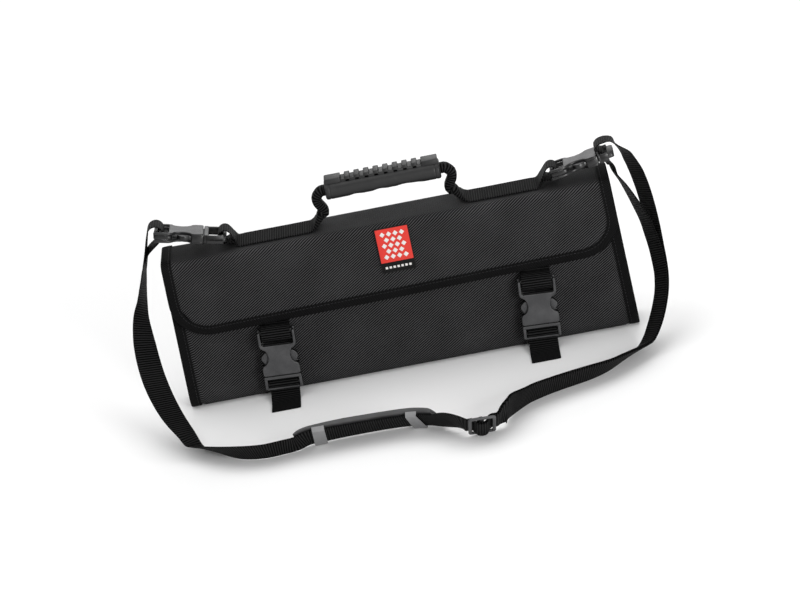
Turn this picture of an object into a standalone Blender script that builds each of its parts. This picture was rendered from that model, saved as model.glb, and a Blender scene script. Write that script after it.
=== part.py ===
"""A chef's knife roll, closed and standing on its folded bottom edge.

Sizes are in metres. X runs along the roll, -Y is its front and +Z is up. The origin is the
middle of the flat strip that the roll stands on.
"""
import math

import bmesh
import bpy
from mathutils import Matrix, Vector

# Sizes of the closed roll
ROLL_LENGTH = 0.464
TOP_LENGTH = 0.453
ROLL_DEPTH = 0.040
ROLL_HEIGHT = 0.1645
FOOT_WIDTH = 0.018
BEND_HEIGHT = 0.019
WALL = 0.0024
SWELL = 0.0022
END_HOLLOW = 0.0025
RIM_TURN = 0.0035
RIM_HEIGHT = 0.0048

# Sizes of the flap
FLAP_DROP_LEFT = 0.083
FLAP_DROP_RIGHT = 0.076
FLAP_CORNER = 0.040
FLAP_BEND = 0.006
FLAP_HEM = 0.022

# Sizes of the webbing and of the binding tape
WEB_WIDTH = 0.030
WEB_THICK = 0.0014
TAPE_WIDTH = 0.0095
TAPE_THICK = 0.0009
GAP = 0.0003

# Sizes of the side-release buckles
BUCKLE_WIDTH = 0.038
BUCKLE_THICK = 0.0105
BUCKLE_CORNER = 0.004
FEMALE_LENGTH = 0.050
SLEEVE_DEPTH = 0.031
PLATE = 0.0024
WINDOW_START = 0.014
WINDOW_LENGTH = 0.015
WINDOW_DEPTH = 0.006
FEMALE_SLOT = 0.0115
SLOT_WIDTH = 0.032
SLOT_CORNER = 0.0008
BAR = 0.0038
BAR_THICK = 0.0040
MALE_THICK = 0.0090
PRONG_THICK = 0.0046
PRONG_WIDTH = 0.0045
GUIDE_WIDTH = 0.0060
SPLIT = 0.0004
CHAMFER = 0.0008
LADDER_LENGTH = 0.0170
HITCH_LENGTH = 0.0230
RING_LENGTH = 0.0165

# Places of the front closures
CLOSURE_SPACING = 0.267
CLOSURE_SHIFT = 0.001
CLOSURE_TILT = 3.5
CLOSURE_SPLIT_Z = 0.0295
CLOSURE_STANDOFF = 0.0042
TAIL_REACH = 0.037

# Sizes and place of the handle
HANDLE_SHIFT = 0.0065
HANDLE_RISE = 0.0360
GRIP_LENGTH = 0.1165
GRIP_WIDTH = 0.024
GRIP_HEIGHT = 0.0185
STRIP_HEIGHT = 0.0040
STRIP_WIDTH = 0.014
STRIP_END = 0.0165
LUG_COUNT = 8
LUG_PITCH = 0.0097
LUG_LENGTH = 0.0052
FINGER_WAVE = 0.0026
ROLLED_WIDTH = 0.013
ROLLED_THICK = 0.0100

# Places of the top buckles, at the split between their halves
LEFT_SPLIT_IN = 0.046
LEFT_SPLIT_RISE = 0.0180
LEFT_PITCH = 14.0
RIGHT_SPLIT_IN = 0.006
RIGHT_SPLIT_RISE = 0.0215
RIGHT_PITCH = 9.0
TOP_TIP = 10.0
BAND_LEFT_END = 0.079
BAND_RIGHT_END = 0.070

# Radii of the webbings' loose loops round the buckles' bars, and how far they sit off a bar
FLAP_LOOP = 0.0072
FLAP_LOOP_SINK = 0.0026
BAND_LOOP = 0.0066
HOOK_LOOP = 0.0080
TOP_LOOP_RISE = 0.0018

# Sizes of the label
LABEL_WIDTH = 0.035
LABEL_HEIGHT = 0.0495
LABEL_THICK = 0.0012
LABEL_SHIFT = 0.0055
LABEL_DROP = 0.0028

# Sizes of the shoulder strap and its fittings
STRAP_REACH = 0.180
PAD_LENGTH = 0.142
PAD_THICK = 0.0080
PAD_RIM = 0.0026
BRIDGE_LENGTH = 0.0125
BRIDGE_INSET = 0.023
SLIDER_LENGTH = 0.027
SLIDER_THICK = 0.0026
SLIDER_BAR = 0.0034
SLIDER_SIDE = 0.0027

# What follows from the sizes
HALF_DEPTH = ROLL_DEPTH / 2
REBATE = TAPE_THICK + GAP
FLAP_FRONT = HALF_DEPTH + GAP + WEB_THICK + GAP + REBATE + WALL / 2
FLAP_BACK = HALF_DEPTH + GAP + REBATE + WALL / 2
FLAP_TOP = ROLL_HEIGHT + GAP + REBATE + WALL / 2
BAND_Z = FLAP_TOP + WALL / 2 + GAP + WEB_THICK / 2
LAYER = WEB_THICK + 2 * GAP
SLIDER_HALF_WIDTH = WEB_WIDTH / 2 + 2 * GAP + SLIDER_SIDE
BRIDGE_INNER = WEB_THICK / 2 + 3 * GAP
WRAP = math.hypot(BAR, BAR_THICK) / 2 + 1.5 * GAP + WEB_THICK / 2

# The shoulder strap's way round the front, from its left buckle to its slider.
# Columns: x in half roll lengths at that height, y in strap reaches to the front, z in roll
# heights (0 lies on the floor), lean of the width above level and turn of it, in degrees.
STRAP_ROUTE = (
    (-1.085, 0.016, 0.985, 20, 0),
    (-1.105, 0.044, 0.875, 38, -2),
    (-1.121, 0.090, 0.780, 40, -12),
    (-1.135, 0.135, 0.700, 34, -28),
    (-1.136, 0.215, 0.570, 23, -44),
    (-1.123, 0.305, 0.430, 15, -46),
    (-1.094, 0.405, 0.310, 14, -44),
    (-1.052, 0.505, 0.205, 17, -40),
    (-1.003, 0.590, 0.120, 24, -34),
    (-0.935, 0.680, 0.000, 34, -20),
    (-0.850, 0.785, 0.000, 44, -4),
    (-0.765, 0.850, 0.000, 52, 8),
    (-0.655, 0.882, 0.000, 55, 6),
    (-0.530, 0.864, 0.000, 55, 5),
    (-0.410, 0.852, 0.000, 52, 4),
    (-0.225, 0.848, 0.000, 49, 4),
    (-0.040, 0.866, 0.000, 48, 3),
    (0.085, 0.935, 0.095, 50, 2),
    (0.160, 1.030, 0.125, 50, 2),
)
# The slider's middle, in the same columns
SLIDER_PLACE = (0.262, 1.070, 0.000, 50, 8)
# The strap's way from the slider up to its right buckle, in the same columns
STRAP_RISE = (
    (0.375, 1.015, 0.120, 50, 2),
    (0.412, 0.905, 0.095, 54, -2),
    (0.490, 0.805, 0.000, 54, -3),
    (0.620, 0.735, 0.000, 53, -3),
    (0.740, 0.690, 0.000, 51, -3),
    (0.830, 0.640, 0.000, 43, -2),
    (0.905, 0.565, 0.000, 36, 6),
    (0.975, 0.475, 0.000, 30, 22),
    (1.037, 0.400, 0.085, 30, 32),
    (1.084, 0.335, 0.175, 32, 34),
    (1.125, 0.265, 0.290, 33, 30),
    (1.144, 0.205, 0.405, 32, 27),
    (1.148, 0.145, 0.540, 31, 27),
    (1.149, 0.100, 0.690, 29, 27),
    (1.143, 0.060, 0.860, 28, 27),
    (1.127, 0.030, 1.010, 26, 25),
    (1.099, 0.012, 1.130, 20, 18),
)
# The strap's two ways through the slider, from left to right and then back round its middle
# bar. Columns: along in half slider lengths, out where 1 lies on the slider's face.
SLIDER_OVER = (
    (-1.35, -2.00),
    (-1.10, -1.05),
    (-0.70, -1.05),
    (-0.50, 0.20),
    (-0.28, 1.90),
    (0.28, 1.90),
    (0.50, 0.20),
    (0.70, -1.05),
    (1.10, -1.05),
    (1.35, -1.90),
)
SLIDER_UNDER = (
    (1.24, -2.60),
    (1.10, -1.90),
    (0.70, -1.85),
    (0.42, -0.95),
    (0.36, 0.0),
    (0.22, 1.02),
    (-0.22, 1.02),
    (-0.36, 0.0),
    (-0.25, -1.02),
    (0.05, -1.08),
)
# The strap's way over the top right buckle into its ring. Columns: outwards and up from the
# middle of the ring's slot in strap widths, share of being square to the buckle.
RING_LOOP = (
    (0.433, 0.277, 0.5),
    (0.287, 0.453, 0.9),
    (0.067, 0.473, 1.0),
    (-0.167, 0.413, 1.0),
    (-0.277, 0.263, 1.0),
    (-0.147, 0.197, 1.0),
    (-0.013, 0.120, 1.0),
    (0.0, 0.0, 1.0),
    (0.010, -0.133, 1.0),
    (0.047, -0.25, 1.0),
)
# Where the pad starts, in half roll lengths
PAD_START = -0.53
# How far apart the strap's two layers lie between the slider and the right buckle.
# Columns: share of the rows above, distance in strap widths beyond lying on each other.
LAYER_SPREAD = (
    (0.0, 0.0),
    (0.69, 0.0),
    (0.75, 0.03),
    (0.8125, 0.15),
    (0.875, 0.40),
    (0.9375, 0.63),
    (1.0, 0.52),
)
# The pad tapers to its ends. Columns: share of its length, share of its thickness.
PAD_PROFILE = (
    (0.0, 0.38),
    (0.05, 0.55),
    (0.17, 0.92),
    (0.35, 1.0),
    (0.65, 1.0),
    (0.83, 0.92),
    (0.95, 0.55),
    (1.0, 0.38),
)
# The grip's outline. Columns: share of its length, share of its size, share of a finger wave.
GRIP_PROFILE = (
    (0.0, 0.92, 0.0),
    (0.012, 0.985, 0.0),
    (0.06, 1.0, 0.0),
    (0.18, 1.0, 0.1),
    (0.255, 1.0, 0.65),
    (0.325, 1.0, 0.2),
    (0.39, 1.0, 0.2),
    (0.465, 1.0, 1.0),
    (0.53, 1.0, 0.5),
    (0.60, 1.0, 0.5),
    (0.68, 1.0, 1.1),
    (0.77, 1.0, 0.6),
    (0.86, 1.0, 0.0),
    (0.94, 1.0, 0.0),
    (0.988, 0.985, 0.0),
    (1.0, 0.92, 0.0),
)
# The handle webbing between the band and the grip's end. Columns: way outwards from the
# grip's end in grip widths, height in handle rises above the band, share of being rolled up.
HANDLE_BEND = (
    (0.95, 0.0, 0.0),
    (0.72, 0.035, 0.25),
    (0.46, 0.14, 0.75),
    (0.26, 0.31, 1.0),
    (0.24, 0.46, 1.0),
    (0.40, 0.66, 1.0),
    (0.42, 0.84, 1.0),
    (0.22, 0.985, 1.0),
)


def clear_scene():
    """Remove every object that the file opened with."""
    for item in list(bpy.data.objects):
        bpy.data.objects.remove(item, do_unlink=True)


def make_collection(name):
    group = bpy.data.collections.new(name)
    bpy.context.scene.collection.children.link(group)
    return group


def make_material(name, color, roughness, metallic=0.0):
    material = bpy.data.materials.new(name)
    material.use_nodes = True
    shader = material.node_tree.nodes["Principled BSDF"]
    shader.inputs["Base Color"].default_value = (*color, 1.0)
    shader.inputs["Roughness"].default_value = roughness
    shader.inputs["Metallic"].default_value = metallic
    return material


def add_object(name, mesh, material, group=None):
    item = bpy.data.objects.new(name, mesh)
    (group or PARTS).objects.link(item)
    mesh.materials.clear()
    mesh.materials.append(material)
    return item


def mesh_from(bm, name):
    """Turn a bmesh into a mesh with its doubles merged and its faces pointing outwards."""
    bmesh.ops.remove_doubles(bm, verts=bm.verts[:], dist=0.00001)
    bmesh.ops.recalc_face_normals(bm, faces=bm.faces[:])
    mesh = bpy.data.meshes.new(name)
    bm.to_mesh(mesh)
    bm.free()
    return mesh


def loft(sections, closed=True, capped=True):
    """Join sections of equal point counts with quads, and cap the two ends."""
    bm = bmesh.new()
    rings = [[bm.verts.new(point) for point in section] for section in sections]
    count = len(rings[0])
    for near, far in zip(rings, rings[1:]):
        for i in range(count if closed else count - 1):
            j = (i + 1) % count
            bm.faces.new((near[i], near[j], far[j], far[i]))
    if capped:
        bm.faces.new(rings[0][::-1])
        bm.faces.new(rings[-1])
    return bm


def baked(item):
    """Apply an object's modifiers or its curve, as a new mesh with welded caps."""
    bpy.context.view_layer.update()
    graph = bpy.context.evaluated_depsgraph_get()
    mesh = bpy.data.meshes.new_from_object(item.evaluated_get(graph))
    bm = bmesh.new()
    bm.from_mesh(mesh)
    bpy.data.meshes.remove(mesh)
    return mesh_from(bm, item.name)


def plate(name, outlines, thickness, chamfer):
    """A flat plate in the XZ plane from closed outlines, the first outside the others."""
    curve = bpy.data.curves.new(name, "CURVE")
    curve.dimensions = "2D"
    curve.fill_mode = "BOTH"
    curve.extrude = thickness / 2 - chamfer
    curve.bevel_depth = chamfer
    curve.bevel_resolution = 0
    curve.offset = -chamfer
    for outline in outlines:
        spline = curve.splines.new("POLY")
        spline.points.add(len(outline) - 1)
        for point, (x, z) in zip(spline.points, outline):
            point.co = (x, z, 0.0, 1.0)
        spline.use_cyclic_u = True
    flat = bpy.data.objects.new(name, curve)
    CUTTERS.objects.link(flat)
    mesh = baked(flat)
    bpy.data.objects.remove(flat, do_unlink=True)
    bpy.data.curves.remove(curve)
    mesh.transform(Matrix.Rotation(math.radians(90), 4, "X"))
    return mesh


def box(name, low, high):
    """A plain box between two corners, kept with the cutters."""
    bm = bmesh.new()
    bmesh.ops.create_cube(bm, size=1.0)
    bmesh.ops.scale(bm, vec=Vector(high) - Vector(low), verts=bm.verts[:])
    bmesh.ops.translate(bm, vec=(Vector(high) + Vector(low)) / 2, verts=bm.verts[:])
    return add_object(name, mesh_from(bm, name), BLACK_PLASTIC, CUTTERS)


def combine(item, tools, operation):
    """Cut tools from an object or join them to it, and make the result its mesh."""
    for tool in tools:
        tool.hide_render = True
        tool.display_type = "WIRE"
        step = item.modifiers.new(tool.name, "BOOLEAN")
        step.operation = operation
        step.solver = "EXACT"
        step.object = tool
    mesh = baked(item)
    item.modifiers.clear()
    mesh.materials.clear()
    mesh.materials.append(item.data.materials[0])
    item.data = mesh


def rounded_rectangle(width, low, high, radius, steps=3):
    """Outline of a rectangle from low to high, with round corners."""
    half = width / 2 - radius
    corners = (
        ((half, low + radius), -90),
        ((half, high - radius), 0),
        ((-half, high - radius), 90),
        ((-half, low + radius), 180),
    )
    outline = []
    for centre, start in corners:
        outline.extend(arc(centre, radius, start, start + 90, steps))
    return outline


def arc(centre, radius, start, end, steps):
    """Points round a centre, with angles in degrees from the first axis to the second."""
    points = []
    for i in range(steps + 1):
        angle = math.radians(start + (end - start) * i / steps)
        points.append((centre[0] + radius * math.cos(angle), centre[1] + radius * math.sin(angle)))
    return points


def smooth_rows(rows, per_span):
    """Read a smooth curve through rows of numbers, per_span steps between two rows."""
    result = []
    for i in range(len(rows) - 1):
        before, start = rows[max(i - 1, 0)], rows[i]
        end, after = rows[i + 1], rows[min(i + 2, len(rows) - 1)]
        for step in range(per_span):
            t = step / per_span
            row = []
            for a, b, c, d in zip(before, start, end, after):
                bend = 2 * a - 5 * b + 4 * c - d + t * (3 * (b - c) + d - a)
                row.append(b + 0.5 * t * (c - a + t * bend))
            result.append(row)
    result.append(list(rows[-1]))
    return result


def read_table(table, share):
    """Read a table of (share, value) rows in straight lines between its rows."""
    for (x0, y0), (x1, y1) in zip(table, table[1:]):
        if share <= x1:
            return y0 + (y1 - y0) * (share - x0) / (x1 - x0)
    return table[-1][1]


def mix(start, end, share):
    return start + (end - start) * share


def wrap(anchor, centre, turn, radius):
    """A webbing's way from an anchor round a bar and back beside itself, as flat points.

    The way turns left round the bar when turn is 1 and right when it is -1.
    """
    anchor, centre = Vector(anchor), Vector(centre)
    away = centre - anchor
    lead = math.atan2(away.y, away.x) - turn * math.asin(min(1.0, radius / away.length))
    ahead = Vector((math.cos(lead), math.sin(lead)))
    inward = Vector((-ahead.y, ahead.x)) * turn
    run = math.sqrt(max(0.0, away.length ** 2 - radius ** 2))
    first = math.degrees(lead) - turn * 90
    beside = anchor + ahead * run * 0.42 + inward * LAYER
    back = beside - centre
    rest = math.acos(min(1.0, radius / back.length))
    last = math.degrees(math.atan2(back.y, back.x) - turn * rest)
    sweep = turn * ((turn * (last - first)) % 360)
    points = [anchor, anchor + ahead * run * 0.5]
    points.extend(Vector(p) for p in arc(centre, radius, first, first + sweep, 7))
    return points + [beside, anchor + ahead * run * 0.12 + inward * LAYER]


def band(name, stations, material, chamfered=False):
    """A band through stations of (centre, width direction, width, thickness)."""
    sections = []
    for i, (centre, across, width, thick) in enumerate(stations):
        ahead = stations[min(i + 1, len(stations) - 1)][0] - stations[max(i - 1, 0)][0]
        facing = ahead.cross(across).normalized()
        across = facing.cross(ahead).normalized()
        u, v = width / 2, thick / 2
        corners = [(u, v), (-u, v), (-u, -v), (u, -v)]
        if chamfered:
            cut = 0.3 * min(width, thick)
            half = [(u - cut, v), (cut - u, v), (-u, v - cut), (-u, cut - v)]
            corners = half + [(-a, -b) for a, b in half]
        sections.append([centre + across * a + facing * b for a, b in corners])
    return add_object(name, mesh_from(loft(sections), name), material)


# The body of the roll

def half_length_at(z):
    """Half the roll's length at a height: its ends lean in towards the top."""
    return mix(ROLL_LENGTH, TOP_LENGTH, z / ROLL_HEIGHT) / 2


def swell_at(x, z):
    """How far the front stands out between the two closures."""
    reach = (CLOSURE_SPACING - 1.5 * BUCKLE_WIDTH) / 2
    top = FLAP_TOP - LABEL_DROP - LABEL_HEIGHT - 0.5 * FLAP_BEND
    if abs(x) >= reach or not BEND_HEIGHT < z < top:
        return 0.0
    along = math.cos(math.pi / 2 * x / reach) ** 2
    return SWELL * along * math.sin(math.pi * (z - BEND_HEIGHT) / (top - BEND_HEIGHT)) ** 2


def swelled(point):
    """A point of the front, moved out with the swell."""
    if point.y < 0:
        point.y -= swell_at(point.x, point.z)
    return point


def trough_profile(inset):
    """Depth and height of the roll's outer face, from the front's top round to the back's."""
    half = HALF_DEPTH - inset
    straight = ROLL_HEIGHT - RIM_HEIGHT
    front = [(RIM_TURN - half, ROLL_HEIGHT)]
    front += [(-half, mix(BEND_HEIGHT, straight, share)) for share in (1.0, 0.72, 0.52, 0.35, 0.18)]
    for step in range(5):
        angle = math.radians(22.5 * step)
        y = -FOOT_WIDTH / 2 - (half - FOOT_WIDTH / 2) * math.cos(angle)
        front.append((y, BEND_HEIGHT - (BEND_HEIGHT - inset) * math.sin(angle)))
    return front + [(-y, z) for y, z in front[::-1]]


def make_body():
    """The outer cover: front, folded bottom, back and two closed ends, open at the top."""
    stations = [(-1, 0.0, REBATE), (-1, TAPE_WIDTH + GAP, REBATE), (-1, TAPE_WIDTH + 4 * GAP, 0.0)]
    stations += [(share, None, 0.0) for share in (-0.84, -0.62, -0.42, -0.28, -0.14, 0.0)]
    mirrored = [(-side, inward, inset) for side, inward, inset in stations[-2::-1]]
    sections = []
    for side, inward, inset in stations + mirrored:
        section = []
        for y, z in trough_profile(inset):
            half = half_length_at(z)
            x = side * (half - TAPE_WIDTH) if inward is None else side * (half - inward)
            section.append(swelled(Vector((x, y, z))))
        sections.append(section)
    bm = loft(sections, closed=False)
    bm.faces.ensure_lookup_table()
    ends = [face for face in bm.faces if len(face.verts) > 4]
    bmesh.ops.recalc_face_normals(bm, faces=bm.faces[:])
    if ends[0].normal.x * ends[0].calc_center_median().x < 0:
        bmesh.ops.reverse_faces(bm, faces=bm.faces[:])
    rim = 0.7 * TAPE_WIDTH
    bmesh.ops.inset_region(bm, faces=ends, thickness=rim, depth=-END_HOLLOW, use_even_offset=True)
    mesh = bpy.data.meshes.new("body")
    bm.to_mesh(mesh)
    bm.free()
    body = add_object("body", mesh, NYLON)
    shell = body.modifiers.new("wall", "SOLIDIFY")
    shell.thickness = WALL
    shell.offset = -1.0
    shell.use_even_offset = True


def make_end_binding(name, side):
    """The tape folded over the seam between an end and the front, bottom and back."""
    profile = trough_profile(0.0)
    sections = []
    for i, (y, z) in enumerate(profile):
        before, after = profile[max(i - 1, 0)], profile[min(i + 1, len(profile) - 1)]
        along = Vector((0, after[0] - before[0], after[1] - before[1])).normalized()
        inward = Vector((side, 0, 0)).cross(along) * side
        section = []
        for out, depth in (
            (-TAPE_WIDTH, 0.0),
            (REBATE, 0.0),
            (REBATE, TAPE_WIDTH),
            (GAP, TAPE_WIDTH),
            (GAP, TAPE_THICK),
            (-TAPE_WIDTH, TAPE_THICK),
        ):
            point = Vector((0, y, z)) + inward * depth
            point.x = side * (half_length_at(point.z) + out)
            section.append(point)
        sections.append(section)
    add_object(name, mesh_from(loft(sections), name), BINDING)


# The flap

def flap_edge_z(x):
    """Height of the flap's lower edge before its corners are rounded."""
    share = x / ROLL_LENGTH + 0.5
    return FLAP_TOP - mix(FLAP_DROP_LEFT, FLAP_DROP_RIGHT, share)


def flap_profile():
    """The flap's middle surface over the top as (y, z, y and z of its outer normal)."""
    back, front = FLAP_BACK - FLAP_BEND, -FLAP_FRONT + FLAP_BEND
    low = FLAP_TOP - FLAP_BEND
    rows = [(FLAP_BACK, FLAP_TOP - FLAP_HEM, 1.0, 0.0)]
    for centre, start in ((back, 0), (front, 90)):
        for (y, z), (ny, nz) in zip(
            arc((centre, low), FLAP_BEND, start, start + 90, 3), arc((0, 0), 1.0, start, start + 90, 3)
        ):
            rows.append((y, z, ny, nz))
    middle = len(rows) // 2 + 1
    rows.insert(middle, (mix(back, front, 0.5), FLAP_TOP, 0.0, 1.0))
    return rows


def flap_grid():
    """Points of the flap's middle surface: one row of (point, normal) for each column."""
    reference = half_length_at(FLAP_TOP - FLAP_DROP_LEFT / 2)
    inner = reference - FLAP_CORNER
    columns = []
    for angle in (90, 72, 54, 36, 18, 0):
        turn = math.radians(angle)
        columns.append((inner + FLAP_CORNER * math.sin(turn), FLAP_CORNER * (1 - math.cos(turn))))
    columns += [(inner * share, 0.0) for share in (0.84, 0.7, 0.54, 0.4, 0.26, 0.13, 0.0)]
    left = [(-x, rise) for x, rise in columns]
    grid = []
    for x, rise in left + columns[-2::-1]:
        line = []
        rows = flap_profile()
        low = FLAP_TOP - FLAP_BEND
        edge = flap_edge_z(x) + rise
        rows += [(-FLAP_FRONT, mix(low, edge, share), -1.0, 0.0) for share in (0.25, 0.5, 0.75, 1.0)]
        for y, z, ny, nz in rows:
            at = Vector((x / reference * half_length_at(z), y, z))
            line.append((at, Vector((0, ny, nz))))
        grid.append(line)
    return grid


def make_flap():
    """The flap from its hem on the back, over the top, to its round-cornered front edge."""
    grid = [[swelled(at) for at, _ in line] for line in flap_grid()]
    mesh = mesh_from(loft(grid, closed=False, capped=False), "flap")
    flap = add_object("flap", mesh, NYLON)
    shell = flap.modifiers.new("wall", "SOLIDIFY")
    shell.thickness = WALL
    shell.offset = 0.0
    shell.use_even_offset = True


def make_flap_binding():
    """The tape folded over the flap's free edge, from the left hem round to the right."""
    grid = flap_grid()
    edge = grid[0] + [line[-1] for line in grid[1:-1]] + grid[-1][::-1]
    outer = WALL / 2 + REBATE
    inner = WALL / 2 + GAP
    sections = []
    for i, (at, normal) in enumerate(edge):
        ahead = (edge[min(i + 1, len(edge) - 1)][0] - edge[max(i - 1, 0)][0]).normalized()
        inward = normal.cross(ahead).normalized()
        sections.append([
            swelled(at + inward * along + normal * out)
            for along, out in (
                (TAPE_WIDTH, outer),
                (-REBATE, outer),
                (-REBATE, -outer),
                (TAPE_WIDTH, -outer),
                (TAPE_WIDTH, -inner),
                (-GAP, -inner),
                (-GAP, inner),
                (TAPE_WIDTH, inner),
            )
        ])
    add_object("flap_binding", mesh_from(loft(sections), "flap_binding"), BINDING)


def make_label():
    """The sewn label on the flap's front."""
    front = -FLAP_FRONT - WALL / 2 - GAP
    top = FLAP_TOP - LABEL_DROP
    outline = rounded_rectangle(LABEL_WIDTH, -LABEL_HEIGHT / 2, LABEL_HEIGHT / 2, 0.04 * LABEL_WIDTH, 2)
    mesh = plate("label", [outline], LABEL_THICK, 0.25 * LABEL_THICK)
    label = add_object("label", mesh, LABEL_RED)
    label.location = (LABEL_SHIFT, front - LABEL_THICK / 2, top - LABEL_HEIGHT / 2)


# The side-release buckles, made upright: the split is at z = 0 and the female half above it

def make_female(name, place):
    """The half with the sleeve, its side windows and the bar that holds its webbing."""
    top = FEMALE_LENGTH
    slot_top = top - BAR
    outline = rounded_rectangle(BUCKLE_WIDTH, 0.0, top, BUCKLE_CORNER)
    slot = rounded_rectangle(SLOT_WIDTH, slot_top - FEMALE_SLOT, slot_top, SLOT_CORNER, 1)
    female = add_object(name, plate(name, [outline, slot], BUCKLE_THICK, CHAMFER), BLACK_PLASTIC)
    far = BUCKLE_THICK
    cavity = BUCKLE_THICK / 2 - PLATE
    half = BUCKLE_WIDTH / 2
    side = SLOT_WIDTH / 2
    cuts = [box(name + "_sleeve", (-side, -cavity, -far), (side, cavity, SLEEVE_DEPTH))]
    for side in (-1, 1):
        edges = sorted((side * (half - WINDOW_DEPTH), side * (half + far)))
        low, high = WINDOW_START, WINDOW_START + WINDOW_LENGTH
        cuts.append(box(f"{name}_window{side}", (edges[0], -far, low), (edges[1], far, high)))
    cuts += bar_recesses(name, slot_top - 0.25 * BAR, top + far)
    combine(female, cuts, "DIFFERENCE")
    female.matrix_world = place


def bar_recesses(name, low, high):
    """Cutters that thin a buckle's end to its bar, before and behind it."""
    cuts = []
    for face in (-1, 1):
        edges = sorted((face * BAR_THICK / 2, face * BUCKLE_THICK))
        corners = ((-SLOT_WIDTH / 2, edges[0], low), (SLOT_WIDTH / 2, edges[1], high))
        cuts.append(box(f"{name}_recess{face}", *corners))
    return cuts


def prong_outline():
    """Outline of the male half's guide and of its two springy prongs, seen from the front."""
    inner = SLOT_WIDTH / 2 - GAP
    tip = BUCKLE_WIDTH / 2 - CHAMFER
    root = -2 * SPLIT
    prong_end = WINDOW_START + 0.93 * WINDOW_LENGTH
    guide_end = WINDOW_START + 0.73 * WINDOW_LENGTH
    right = [
        (inner, root),
        (inner, WINDOW_START + GAP),
        (tip, WINDOW_START + 0.27 * WINDOW_LENGTH),
        (tip, WINDOW_START + 0.45 * WINDOW_LENGTH),
        (inner - 0.5 * PRONG_WIDTH, prong_end),
        (inner - 1.3 * PRONG_WIDTH, prong_end),
        (inner - PRONG_WIDTH, WINDOW_START),
        (inner - PRONG_WIDTH, 0.9 * PRONG_WIDTH),
        (GUIDE_WIDTH / 2, 0.9 * PRONG_WIDTH),
        (GUIDE_WIDTH / 2, guide_end - 0.3 * GUIDE_WIDTH),
        (0.3 * GUIDE_WIDTH, guide_end),
    ]
    return right + [(-x, z) for x, z in right[::-1]]


def make_male(name, place, length, slots):
    """The half with the prongs. Each slot is (start, end) measured from the split."""
    outline = rounded_rectangle(BUCKLE_WIDTH, -length, -SPLIT, 0.7 * BUCKLE_CORNER, 2)
    holes = [rounded_rectangle(SLOT_WIDTH, -end, -start, SLOT_CORNER, 1) for start, end in slots]
    male = add_object(name, plate(name, [outline] + holes, MALE_THICK, CHAMFER), BLACK_PLASTIC)
    prong_mesh = plate(name, [prong_outline()], PRONG_THICK, 0.4 * CHAMFER)
    prongs = add_object(name + "_prongs", prong_mesh, BLACK_PLASTIC, CUTTERS)
    combine(male, [prongs], "UNION")
    cuts = bar_recesses(name, -length - BUCKLE_THICK, -slots[0][1] + 0.34 * BAR)
    combine(male, cuts, "DIFFERENCE")
    male.matrix_world = place


LADDER_SLOTS = (
    (0.27 * LADDER_LENGTH, 0.506 * LADDER_LENGTH),
    (0.694 * LADDER_LENGTH, 0.853 * LADDER_LENGTH),
)
HITCH_SLOTS = ((0.217 * HITCH_LENGTH, HITCH_LENGTH - BAR),)
RING_SLOTS = ((0.19 * RING_LENGTH, 0.606 * RING_LENGTH),)


# The two closures on the front

def closure_x(side, z):
    """Middle of a closure at a height: both closures tilt the same way."""
    lean = math.tan(math.radians(CLOSURE_TILT))
    return side * CLOSURE_SPACING / 2 + CLOSURE_SHIFT + (z - CLOSURE_SPLIT_Z) * lean


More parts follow.
